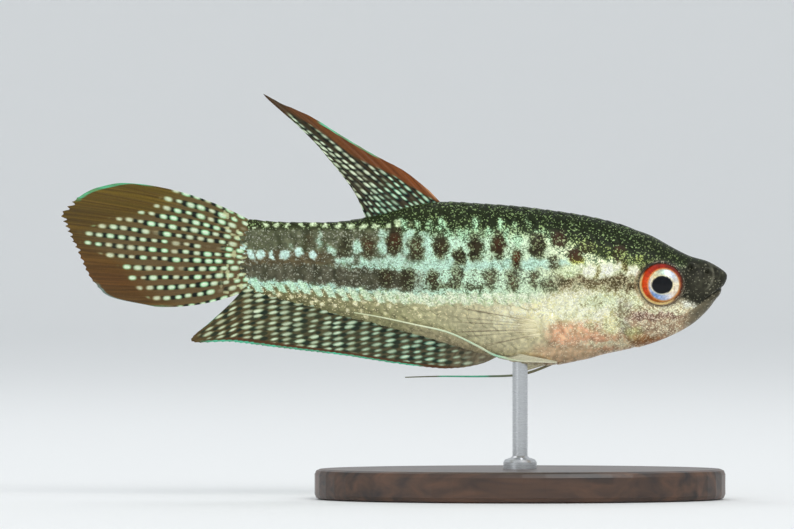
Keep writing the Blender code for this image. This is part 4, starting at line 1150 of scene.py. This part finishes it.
def fin_grid(
    root, margin, lateral, rays, per_ray, rows, bow=0.0, notch=0.03, branch_spread=0.24, notched=np.ones_like,
    thickens=ROOT_THICKENS,
):
    """A fin's sheet: v along its root, u from the root to the margin, and what its colours go by.

    The margin is notched between the rays, in the share that notched(v) gives.
    """
    v = np.linspace(0.0, 1.0, (rays - 1) * per_ray + 1)
    start, end = root(v), margin(v)
    halves = 2 * v * (rays - 1)
    between = np.abs(np.sin(math.pi * halves))
    gap = np.floor(halves + 1e-6)
    fringe = 1 - notch * (0.4 + 1.2 * random_at(gap, 5, 42)) * between**1.3
    frayed = notch * 0.5 * between * random_at(np.round(v * (rays - 1) * 4), 3, 41)
    fringe = 1 - (1 - fringe + frayed) * notched(v)
    u = np.linspace(0.0, 1.0, rows)
    reach = u[None, :] * fringe[:, None]
    s = start[:, None, 0] + (end - start)[:, None, 0] * reach
    h = start[:, None, 1] + (end - start)[:, None, 1] * reach
    h = h + bow * (1 - 2 * v)[:, None] * 4 * reach * (1 - reach)
    steps = np.hypot(np.diff(s, axis=1, prepend=s[:, :1]), np.diff(h, axis=1, prepend=h[:, :1]))
    ray = unit(np.stack([np.gradient(s, axis=1), np.gradient(h, axis=1)], axis=-1))
    across = np.gradient(s, axis=0) * ray[..., 1] - np.gradient(h, axis=0) * ray[..., 0]
    spacing = np.abs(across) * STANDARD_LENGTH * per_ray
    v, u = np.broadcast_to(v[:, None], s.shape), np.broadcast_to(u[None, :], s.shape)
    crest = ray_crest(v, u, rays, spacing, branch_spread)
    half = MEMBRANE_HALF * (1 - 0.35 * u) + RAY_RISE * crest * (1 - 0.6 * u)
    half = half + thickens * bump(u, 0.10) * 2 * np.sqrt(v * (1 - v))
    return SimpleNamespace(
        s=s, h=h, y=lateral(s, h), half=half, v=v, u=u, crest=crest, position=v * (rays - 1),
        spacing=spacing * PIXELS / STANDARD_LENGTH, far=np.cumsum(steps, axis=1) * PIXELS,
    )


def fin_mesh(name, grid, colour, material, *nodes):
    """A fin as one closed sheet, coloured by a function of its grid, whose lengths are in pixels."""
    right, left = placed(grid.s, grid.y - grid.half, grid.h), placed(grid.s, grid.y + grid.half, grid.h)
    rows, columns = grid.s.shape
    grid.x, grid.level = photo_pixels(right)
    flat = SimpleNamespace(**{key: value.ravel() for key, value in vars(grid).items()})
    face = colour(flat)
    faces = sheet_faces(rows, columns)
    flat_uv = np.stack([0.01 + 0.47 * flat.v, 0.01 + 0.98 * flat.u], 1)
    face_uv = np.concatenate([flat_uv, flat_uv + [0.51, 0.0]])[faces]
    side = 2 * (rows - 1) * (columns - 1)
    face_uv[side:, 1:3] = face_uv[side:, [0, 3]]
    points = np.concatenate([right.reshape(-1, 3), left.reshape(-1, 3)])
    made = mesh_piece(name, points, faces, face_uv, base=np.concatenate([face, face]))
    finish_piece(made, material, "fin", *nodes)


def fin_paint(fin, ground, streaks, depth, seed, ray_share, ray_colour):
    """A fin's ground with fine streaks along its rays, and the rays themselves."""
    along, across = streaks
    paint = Paint(ground * (1 - depth / 2 + depth * noise(fin.v * along, fin.u * across, 3, seed))[:, None])
    paint.lay(smooth(fin.crest, 0.3, 1.0) * ray_share, ray_colour)
    return paint


def spots(fin, pitch, seed, length, width, shift=0.0, turned=0.0):
    """Spots along the rays: (1 in each spot, its random number), with the pitch and the sizes in pixels.

    Where the rays crowd together, only every second one has spots.
    """
    every = np.where(fin.spacing < CROWDED, 2, 1)
    line = np.round(fin.position / every) * every
    off = (fin.position - line) * fin.spacing
    start = (random_at(line, 1, seed) + shift) * pitch
    phase = (turned * fin.x + (1 - turned) * fin.far + start) / pitch
    column = np.round(phase)
    off_along = (phase - column) * pitch + jitter(line, column, seed + 3, 1.6)
    off = off + jitter(line, column, seed + 4, 0.9)
    room = np.minimum(1.0, fin.spacing * every / (2.6 * width))
    away = squarish(off_along / length, off / (width * room), 2.6)
    size = 0.72 + 0.42 * random_at(line, column, seed + 1)
    return smooth(away / size, 1.25, 0.70), random_at(line, column, seed + 2)


def tail_colour(fin):
    x, v, u = fin.x, fin.v, fin.u
    ground = ramp(v, [(0.0, (106, 86, 24)), (0.45, (92, 70, 24)), (0.8, (98, 64, 24)), (1.0, (92, 68, 30))])
    paint = fin_paint(fin, ground, (400, 6), 0.36, 51, 0.4, (70, 46, 16))
    reach = TAIL_SPOT_REACH(v)
    paint.lay(smooth(x, reach - 10, reach + 30) * 0.75, (104, 88, 60))
    rows = {"pitch": 10.9, "seed": 55, "turned": 1.0}
    dark, strength = spots(fin, length=3.5, width=2.5, shift=0.5, **rows)
    dark = dark * band(x, reach + 4, reach + 24, 218, 236) * smooth(strength, 0.02, 0.25)
    paint.lay(dark, (12, 20, 9))
    bright, strength = spots(fin, length=4.0, width=2.35, **rows)
    shown = smooth(x, reach - 4, reach + 2) * smooth(strength, -0.02, 0.12)
    bright = bright * shown * (0.60 + 0.40 * strength)
    tones = [(0.0, (214, 212, 164)), (0.4, (196, 226, 178)), (1.0, (160, 232, 170))]
    paint.lay(bright, ramp(strength, tones))
    core, _ = spots(fin, length=2.8, width=1.5, **rows)
    paint.lay(core * bright * 0.9, (240, 252, 226))
    root_dots = smooth(noise(x, fin.level, 3.4, 57), 0.62, 0.74) * smooth(x, 214, 228)
    paint.lay(root_dots * 0.8, (214, 220, 170))
    top_edge = smooth(v, 0.030, 0.010) * band(x, 66, 80, 140, 158)
    edge_from = 0.968 - 0.032 * smooth(v, 0.16, 0.05)
    top_rear = smooth(u, edge_from, edge_from + 0.01) * smooth(v, 0.24, 0.18)
    top_rear = top_rear * (0.6 + 0.4 * noise(v * 90, u, 1, 58))
    paint.lay(np.maximum(top_edge, top_rear), (96, 206, 156))
    paint.lay(smooth(u, 0.972, 0.988) * smooth(v, 0.78, 0.86), (120, 140, 132))
    paint.lay(smooth(v, 0.975, 0.992) * band(x, 132, 142, 160, 176) * 0.8, (118, 150, 108))
    return with_alpha(paint.base, 0.97 - 0.05 * smooth(u, 0.6, 1.0))


def dorsal_colour(fin):
    x, y, v, u = fin.x, fin.level, fin.v, fin.u
    ground = ramp(v, [(0.0, (122, 66, 24)), (0.28, (112, 60, 22)), (0.5, (88, 58, 30)), (1.0, (84, 66, 40))])
    paint = fin_paint(fin, ground, (300, 8), 0.32, 61, 0.3, (146, 92, 56))
    shown = smooth(y - DORSAL_PLAIN(x), -1.0, 2.0) * smooth(x, 284, 292)
    paint.lay(shown * 0.75, (42, 44, 26))
    rows = {"pitch": 9.2, "seed": 65}
    dark, strength = spots(fin, length=3.8, width=2.6, shift=0.5, **rows)
    paint.lay(dark * shown * smooth(strength, 0.0, 0.2), (8, 12, 6))
    bright, strength = spots(fin, length=4.3, width=1.5, **rows)
    bright = bright * shown * (0.45 + 0.55 * strength) * smooth(strength, 0.0, 0.1)
    tones = [(290, (176, 210, 166)), (380, (206, 220, 180)), (410, (150, 222, 180))]
    paint.lay(bright, ramp(x + (y - 150) * 0.5, tones))
    core, _ = spots(fin, length=2.8, width=0.9, **rows)
    paint.lay(core * bright * 0.9, (240, 248, 222))
    spine = smooth(v, 0.045, 0.02) * band(x, 410, 420, 434, 441)
    paint.lay(spine * 0.8, (220, 166, 124))
    edge = smooth(v, 0.022, 0.008) + smooth(u, 0.915, 0.940) * smooth(v, 0.52, 0.44)
    edge = np.minimum(edge, 1.0) * band(x, 316, 322, 374, 382) * (0.45 + 0.55 * noise(x, u, 9, 66))
    paint.lay(edge, (112, 228, 180))
    paint.lay(smooth(x, 296, 280) * 0.85, (66, 48, 24))
    return with_alpha(paint.base, 0.97)


def dashes(x, deep, seed, shift, length, width):
    """Dashes in rows along the belly and columns across it: (1 in each dash, its random number)."""
    column = np.round(x / ANAL_DASH_PITCH - shift)
    middle_x = (column + shift + jitter(column, 1, seed, 0.20)) * ANAL_DASH_PITCH
    lag = ANAL_ROW_PITCH * (0.5 * (column % 2) + 0.45 * random_at(column, 2, seed))
    row = np.round((deep - lag) / ANAL_ROW_PITCH)
    off_x = x - middle_x + jitter(column, row, seed + 1, 3.4)
    off_y = deep - lag - row * ANAL_ROW_PITCH + ANAL_BASE_SLOPE * off_x
    along = off_x * math.cos(ANAL_DASH_TILT) - off_y * math.sin(ANAL_DASH_TILT)
    across = off_x * math.sin(ANAL_DASH_TILT) + off_y * math.cos(ANAL_DASH_TILT)
    across = across + jitter(column, row, seed + 4, 1.2)
    size = 0.66 + 0.46 * random_at(column, row, seed + 2)
    away = np.hypot(along / length, across / width) / size
    return smooth(away, 1.30, 0.60), random_at(column, row, seed + 3)


def anal_colour(fin):
    x, u = fin.x, fin.u
    deep = fin.level - belly_edge(x)
    ground = ramp(x, [(200, (92, 74, 40)), (300, (84, 80, 52)), (430, (88, 80, 56)), (495, (146, 132, 104))])
    paint = fin_paint(fin, ground, (500, 8), 0.36, 71, 0.25, (54, 48, 30))
    shown = smooth(u, 0.94, 0.88)
    front = smooth(x, 486, 440)
    dark, strength = dashes(x, deep, 75, 0.5, 4.4, 2.3)
    paint.lay(dark * shown * (0.45 + 0.55 * strength) * front, (24, 40, 28))
    bright, strength = dashes(x, deep, 75, 0.0, 5.7, 1.9)
    bright = bright * shown * (0.50 + 0.50 * strength) * (0.40 + 0.60 * front)
    tones = [(210, (196, 214, 170)), (320, (172, 204, 168)), (430, (132, 190, 160)), (480, (178, 188, 154))]
    paint.lay(bright, ramp(x, tones))
    core, _ = dashes(x, deep, 75, 0.0, 3.8, 1.0)
    paint.lay(core * bright * 0.85, (236, 246, 216))
    paint.lay(smooth(u, 0.88, 0.92) * band(x, 214, 236, 440, 470) * 0.7, (86, 44, 20))
    edge = smooth(u, 0.950, 0.960) * band(x, 196, 212, 416, 428)
    paint.lay(edge * (0.62 + 0.38 * noise(x, u, 7, 76)), (90, 206, 166))
    return with_alpha(paint.base, 0.97 - 0.12 * smooth(x, 440, 495))


def pectoral_colour(fin):
    """Clear skin with fine dark rays, and painted sheen: bright cream streaks along the rays near the root,
    where they come together.
    """
    paint = Paint(np.tile((214, 200, 164), (len(fin.x), 1)))
    thin = smooth(fin.crest, 0.55, 0.95)
    paint.lay(thin, (84, 66, 44))
    # painted sheen: the fin is drawn bright cream near its root
    bright = smooth(fin.u, 0.42, 0.14)
    paint.lay(bright, (252, 244, 206))
    strength = 0.10 + 0.90 * smooth(random_at(np.round(fin.position), 2, 91), 0.25, 0.85)
    alpha = 0.02 + 0.36 * thin * strength * band(fin.u, 0.24, 0.50, 0.65, 1.0)
    # painted sheen: the bright cream shows as streaks along the rays near the root
    sheen_streak = smooth(fin.crest, 0.1, 0.7)
    alpha = alpha + 0.75 * bright * sheen_streak * smooth(fin.u, 0.02, 0.14) * (0.4 + 0.6 * strength)
    return with_alpha(paint.base, alpha)


def pelvic_colour(fin):
    paint = Paint(np.tile((190, 176, 138), (len(fin.x), 1)))
    ray = smooth(fin.crest, 0.2, 0.8)
    paint.lay(ray, (244, 238, 204))
    return with_alpha(paint.base, (0.10 + 0.85 * ray) * band(fin.u, 0.0, 0.06, 0.85, 1.0))


def along_body(base, edge, outwards):
    """The root of a fin on the back or belly, sunk a little into the body."""

    def root(v):
        s = base[0] + (base[1] - base[0]) * v
        return np.stack([s, edge(s) - outwards * FIN_SUNK / STANDARD_LENGTH], axis=-1)

    return root


def straight(start, end):
    return lambda v: np.array(start) + np.asarray(v)[:, None] * (np.array(end) - np.array(start))


def tail_notched(v):
    return smooth(v, 0.14, 0.28) * (1 - 0.45 * smooth(v, 0.45, 0.65)) * smooth(v, 0.92, 0.80)


def vertical_fins(material):
    for name, base, edge, outwards, margin, waves, make, colour in (
        ("dorsal_fin", DORSAL_BASE, top_of, 1.0, DORSAL_MARGIN, 60, DORSAL_MAKE, dorsal_colour),
        ("anal_fin", ANAL_BASE, bottom_of, -1.0, ANAL_MARGIN, 50, ANAL_MAKE, anal_colour),
    ):
        root = along_body(base, edge, outwards)
        grid = fin_grid(root, through(margin), lambda s, h: FIN_WAVE * np.sin(s * waves), **make)
        fin_mesh(f"{name}_rays", grid, colour, material, name)

    start_s, high, low = TAIL_ROOT
    reach = max(s for _, s, _ in TAIL_MARGIN) - start_s

    def sway(s, h):
        return TAIL_SWAY * (np.maximum(s - start_s, 0) / reach) ** 2 + FIN_WAVE * np.sin(h * 120)

    root = straight((start_s, high), (start_s, low))
    grid = fin_grid(root, through(TAIL_MARGIN), sway, notched=tail_notched, **TAIL_MAKE)
    fin_mesh("caudal_fin_rays", grid, tail_colour, material, "caudal_fin")


def pectoral_fin(side, material):
    high, low = PECTORAL_ROOT_H
    low_y, high_y = (beside(PECTORAL_ROOT_S, h, 0.10) for h in (low, high))
    outwards = math.tan(math.radians(PECTORAL_SPREAD)) * STANDARD_LENGTH

    def lateral(s, h):
        level = low_y + (high_y - low_y) * np.clip((h - low) / (high - low), -0.5, 1.5)
        return side * (level + 0.06 + (s - PECTORAL_ROOT_S) * outwards)

    root = straight((PECTORAL_ROOT_S, high), (PECTORAL_ROOT_S, low))
    grid = fin_grid(root, through(PECTORAL_MARGIN), lateral, **PECTORAL_MAKE)
    name = f"pectoral_fin_{'left' if side > 0 else 'right'}"
    fin_mesh(f"{name}_rays", grid, pectoral_colour, material, name)


def tube_rings(path, radii, sides):
    """Rings of points round a path in millimetres."""
    along = unit(np.gradient(path, axis=0))
    across = unit(np.cross(along, [0.0, 1.0, 0.0]))
    up = np.cross(across, along)
    turns = full_turn(sides)
    return path[:, None] + radii[:, None, None] * (
        across[:, None] * np.cos(turns)[None, :, None] + up[:, None] * np.sin(turns)[None, :, None]
    )


def pelvic_fin(name, side, root, margin, filament, least_y, tones, material):
    """A small folded fan, and the long ray that trails from it."""
    first_s, last_s = root[0][0], filament[-1][0]
    table_s, table_h = np.linspace(*PELVIC_TABLE_S), np.linspace(*PELVIC_TABLE_H)
    table = np.array([[beside(s, h, PELVIC_CLEAR) for h in table_h] for s in table_s])

    def lateral(s, h):
        s, h = np.asarray(s, float), np.asarray(h, float)
        i = np.clip((s - table_s[0]) / (table_s[1] - table_s[0]), 0, len(table_s) - 1.001)
        j = np.clip((h - table_h[0]) / (table_h[1] - table_h[0]), 0, len(table_h) - 1.001)
        found = between_cells(table, i, j)
        away = np.sqrt(np.clip((s - first_s) / (last_s - first_s), 0.0, 1.0))
        free = least_y[0] + (least_y[1] - least_y[0]) * away
        sunk = PELVIC_SUNK * smooth(s, first_s + 0.035, first_s)
        return side * (np.maximum(found, free) - sunk)

    grid = fin_grid(straight(*root), through(margin), lateral, **PELVIC_MAKE)
    fin_mesh(f"{name}_fan", grid, pelvic_colour, material, name)
    trail = through([(i / (len(filament) - 1), *point) for i, point in enumerate(filament)])
    rows, sides = FILAMENT_SIDES
    shares = np.linspace(0.0, 1.0, rows)
    line = trail(shares)
    path = placed(line[:, 0], lateral(line[:, 0], line[:, 1]), line[:, 1])
    rings = tube_rings(path, np.interp(shares, (0.25, 1.0), FILAMENT_RADII), sides)
    tone = np.repeat(ramp(photo_pixels(path)[0], tones), sides, axis=0)
    caps = ring_caps(rows, sides)
    cap_uv = np.zeros((len(caps), 3, 2))
    cap_uv[sides:, :, 0] = 1.0
    points = np.concatenate([rings.reshape(-1, 3), [path[0], path[-1]]])
    quad_uv = ring_map(rows - 1, sides, lambda i, j: (i / (rows - 1), j / sides))
    base = with_ends(with_alpha(tone))
    made = mesh_piece(f"{name}_filament", points, ring_quads(rows, sides), quad_uv, caps, cap_uv, base=base)
    finish_piece(made, material, "fin")


# Eyes


def eye_colours(x, z, in_front):
    """Pupil, silver ring and fiery outer ring, at points across and up from the eye's centre."""
    angle = np.arctan2(z, x)
    share = np.hypot(x / EYE_OPENING[0], z / EYE_OPENING[1])
    streaks = noise(np.cos(angle) * 7, np.sin(angle) * 7, 1, 81)
    paint = Paint(ramp(angle, IRIS_TONES) * (0.78 + 0.40 * streaks)[:, None])
    lower_left = smooth(-x - 1.2 * z, 0.0, 0.8)
    paint.lay(smooth(share, 0.88, 0.95) * lower_left, (252, 222, 150))
    paint.lay(smooth(share, 0.92, 0.99) * (1 - lower_left) * 0.8, (70, 34, 22))

    silver_x, silver_z = x - SILVER_CENTRE[0], z - SILVER_CENTRE[1]
    from_silver = np.hypot(silver_x / SILVER_RADII[0], silver_z / SILVER_RADII[1])
    paint.lay(smooth(np.abs(from_silver - 1.02), 0.09, 0.0) * 0.65, (250, 176, 84))
    mottle = 0.86 + 0.24 * noise(x * 7, z * 7, 1, 82)
    silver = smooth(from_silver, 1.04, 0.94)
    paint.lay(silver, ramp(np.arctan2(silver_z, silver_x), SILVER_TONES) * mottle[:, None])

    pupil_x = (x - PUPIL_CENTRE[0]) / PUPIL_RADII[0]
    from_pupil = np.hypot(pupil_x, (z - PUPIL_CENTRE[1]) / PUPIL_RADII[1]) - 0.05 * np.maximum(-pupil_x, 0)
    paint.lay(smooth(np.abs(from_pupil - 1.08), 0.12, 0.02) * 0.6, (252, 236, 180))
    pupil = smooth(from_pupil, 1.04, 0.96)
    paint.lay(pupil, (5, 8, 14))
    paint.lay(np.where(in_front, 0.0, 1.0), (24, 20, 18))
    return with_alpha(paint.base, silver * (1 - pupil))


def eyeball(name, side, material):
    """The eyeball, coloured by rings, with the pupil a little ahead of its middle."""
    radius_x, radius_y, radius_z = EYE_RADII
    rows, columns = EYE_SIDES
    polar = np.linspace(0.0, math.pi, rows + 2)[1:-1]
    tilt, turn = np.meshgrid(polar, full_turn(columns), indexing="ij")
    across, up = radius_x * np.sin(tilt) * np.cos(turn), radius_z * np.sin(tilt) * np.sin(turn)
    off = np.stack([across, side * radius_y * np.cos(tilt), up], axis=-1).reshape(-1, 3)
    poles = [[0.0, side * radius_y, 0.0], [0.0, -side * radius_y, 0.0]]
    centre = placed(EYE_AT[0], side * EYE_Y, EYE_AT[1])
    points = centre + np.concatenate([off, poles])
    quads, caps = ring_quads(rows, columns), ring_caps(rows, columns)
    local = points - centre
    base = eye_colours(local[:, 0], local[:, 2], local[:, 1] * side > 0)

    def flat_map(faces, behind):
        middle = np.where(behind[:, None, None], [0.74, 0.5], [0.26, 0.5])
        return local[faces][..., [0, 2]] / radius_x * 0.24 + middle

    quad_uv = flat_map(quads, local[quads][:, :, 1].mean(axis=1) * side < 0)
    cap_uv = flat_map(caps, np.arange(len(caps)) >= columns)
    made = mesh_piece(f"eyeball_{name}", points, quads, quad_uv, caps, cap_uv, base=base)
    finish_piece(made, material, "eye", f"eye_{name}")


def eye_rim(name, side, material):
    """The fold of skin round the eye's opening."""
    rows, columns = RIM_SIDES
    turn, around = np.meshgrid(full_turn(rows), full_turn(columns), indexing="ij")
    outwards = RIM_WIDTH / 2 + RIM_WIDTH * np.cos(around)
    lift = opening_level() - 0.02 + RIM_HEIGHT * np.sin(around)
    across, up = (EYE_OPENING[0] + outwards) * np.cos(turn), (EYE_OPENING[1] + outwards) * np.sin(turn)
    points = np.stack([across, side * lift, up], axis=-1) + placed(EYE_AT[0], 0.0, EYE_AT[1])
    inner = smooth(np.cos(around), 0.1, -0.6).ravel()
    gold_side = smooth(-np.cos(turn) - 1.1 * np.sin(turn), -0.3, 0.9).ravel()
    tones = [(-1.0, (112, 98, 78)), (0.2, (74, 68, 58)), (1.0, (54, 56, 50))]
    paint = Paint(ramp(np.sin(turn).ravel(), tones))
    paint.lay(inner * gold_side * 0.85, (246, 216, 156))
    paint.lay(inner * (1 - gold_side) * 0.6, (96, 48, 34))
    made = mesh_piece(
        f"eye_rim_{name}", points.reshape(-1, 3), ring_quads(rows, columns, closed=True),
        ring_map(rows, columns, lambda i, j: (i / rows, j / columns)), base=with_alpha(paint.base),
        shine=with_alpha(np.tile((170, 160, 136), (turn.size, 1)), 0.15),
    )
    finish_piece(made, material, "skin")


# Stand


def stand():
    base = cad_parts["stand_base"]
    base.data.materials.clear()
    base.data.materials.append(wood_material())
    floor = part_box("stand_base")[1].z / MM
    belly = SNOUT_Z + float(bottom_of(ROD_AT)) * STANDARD_LENGTH
    x = SNOUT_X - ROD_AT * STANDARD_LENGTH
    foot_top = floor + FOOT_HEIGHT
    bottom, top = floor - 0.2, belly + ROD_SUNK
    profile = [
        (FOOT_RADIUS, bottom), (FOOT_RADIUS, floor + 0.45), (FOOT_RADIUS - 0.12, floor + 0.62),
        (FOOT_RADIUS - 0.35, foot_top), (ROD_RADIUS + 0.12, foot_top + 0.03), (ROD_RADIUS, foot_top + 0.15),
        (ROD_RADIUS, belly - 1.2), (ROD_RADIUS, top),
    ]
    rows, sides = len(profile), ROD_SIDES
    rings = [(x + r * math.cos(t), r * math.sin(t), z) for r, z in profile for t in full_turn(sides)]
    points = np.array([*rings, (x, 0, bottom), (x, 0, top)])
    quad_uv = ring_map(rows - 1, sides, lambda i, j: (j / sides, 0.05 + 0.9 * i / (rows - 1)))
    made = mesh_piece("display_rod", points, ring_quads(rows, sides), quad_uv, ring_caps(rows, sides))
    made.data.set_sharp_from_angle(angle=math.radians(35))
    finish_piece(made, steel_material(), "stand_steel", "stand_rod")


# Studio


def pale_floor():
    """A round floor that curves up far away on every side, so that no edge shows behind the model."""
    turn = np.linspace(0.0, math.pi / 2, 40)
    flat = np.linspace(0.0, FLOOR_FLAT, 24)[1:-1]
    radii = np.concatenate([flat, FLOOR_FLAT + (FLOOR_RADIUS - FLOOR_FLAT) * np.sin(turn)])[:, None]
    levels = np.concatenate([np.zeros(len(flat)), FLOOR_RISE * (1 - np.cos(turn))])[:, None]
    rows, sides = len(radii), FLOOR_SIDES
    around = full_turn(sides)
    rings = np.stack([
        FLOOR_CENTRE_X + radii * np.cos(around), radii * np.sin(around), np.repeat(levels, sides, axis=1),
    ], axis=-1)
    points = rings.reshape(-1, 3).tolist() + [(FLOOR_CENTRE_X, 0.0, 0.0)]
    quads, centre = ring_quads(rows, sides)[:, ::-1], ring_caps(rows, sides)[:sides, ::-1]
    mesh = bpy.data.meshes.new("pale_floor")
    mesh.from_pydata(points, [], quads.tolist() + centre.tolist())
    mesh.shade_smooth()
    made = added("pale_floor", mesh)
    surface = Surface("pale_floor", 0.85)
    surface.set("Base Color", FLOOR_COLOUR)
    mesh.materials.append(surface.material)


def studio():
    """The floor, soft lights and the camera of the photograph."""
    pale_floor()
    now = bpy.context.scene
    now.world = bpy.data.worlds.new("studio")
    now.world.use_nodes = True
    background = now.world.node_tree.nodes["Background"]
    background.inputs["Color"].default_value = AIR_COLOUR
    background.inputs["Strength"].default_value = AIR_STRENGTH

    for name, place, size, power, colour in LAMPS:
        data = bpy.data.lights.new(name, "AREA")
        data.shape = "DISK"
        data.size = size
        data.energy = power
        data.color = colour
        lamp = added(name, data)
        lamp.location = place
        lamp.rotation_euler = (Vector(LAMP_TARGET) - Vector(place)).to_track_quat("-Z", "Y").to_euler()

    pixel = STANDARD_LENGTH / PIXELS  # in millimetres
    wide, high = FRAME_PIXELS
    data = bpy.data.cameras.new("camera")
    data.sensor_width = SENSOR
    data.lens = SENSOR * CAMERA_DISTANCE / (wide * pixel)
    data.clip_start = 0.01
    data.clip_end = 5.0
    camera = added("camera", data)
    centre_x = SNOUT_X + (wide / 2 - SNOUT_PIXEL[0]) * pixel
    centre_z = SNOUT_Z + (SNOUT_PIXEL[1] - high / 2) * pixel
    camera.location = (centre_x * MM, -CAMERA_DISTANCE * MM, centre_z * MM)
    camera.rotation_euler = (math.pi / 2, 0.0, 0.0)
    now.camera = camera
    now.view_settings.view_transform = "Standard"


def main():
    flesh, membrane, iris = flesh_material(), fin_material(), eye_material()
    skin(flesh)
    places = scale_places()
    for side, name in ((-1.0, "right"), (1.0, "left")):
        scales(f"scales_{name}_front", [place for place in places if place[0] < SCALE_SPLIT], side, flesh)
        scales(f"scales_{name}_rear", [place for place in places if place[0] >= SCALE_SPLIT], side, flesh)
    vertical_fins(membrane)
    for side in (-1.0, 1.0):
        pectoral_fin(side, membrane)
    pelvic_fin(
        "pelvic_fin_left", 1.0, LEFT_PELVIC_ROOT, LEFT_PELVIC_MARGIN, LEFT_FILAMENT, LEFT_PELVIC_Y,
        LEFT_FILAMENT_TONES, membrane,
    )
    pelvic_fin(
        "pelvic_fin_right", -1.0, RIGHT_PELVIC_ROOT, RIGHT_PELVIC_MARGIN, RIGHT_FILAMENT, RIGHT_PELVIC_Y,
        RIGHT_FILAMENT_TONES, membrane,
    )
    for side, name in ((-1.0, "right"), (1.0, "left")):
        eyeball(name, side, iris)
        eye_rim(name, side, flesh)
    stand()
    studio()


main()
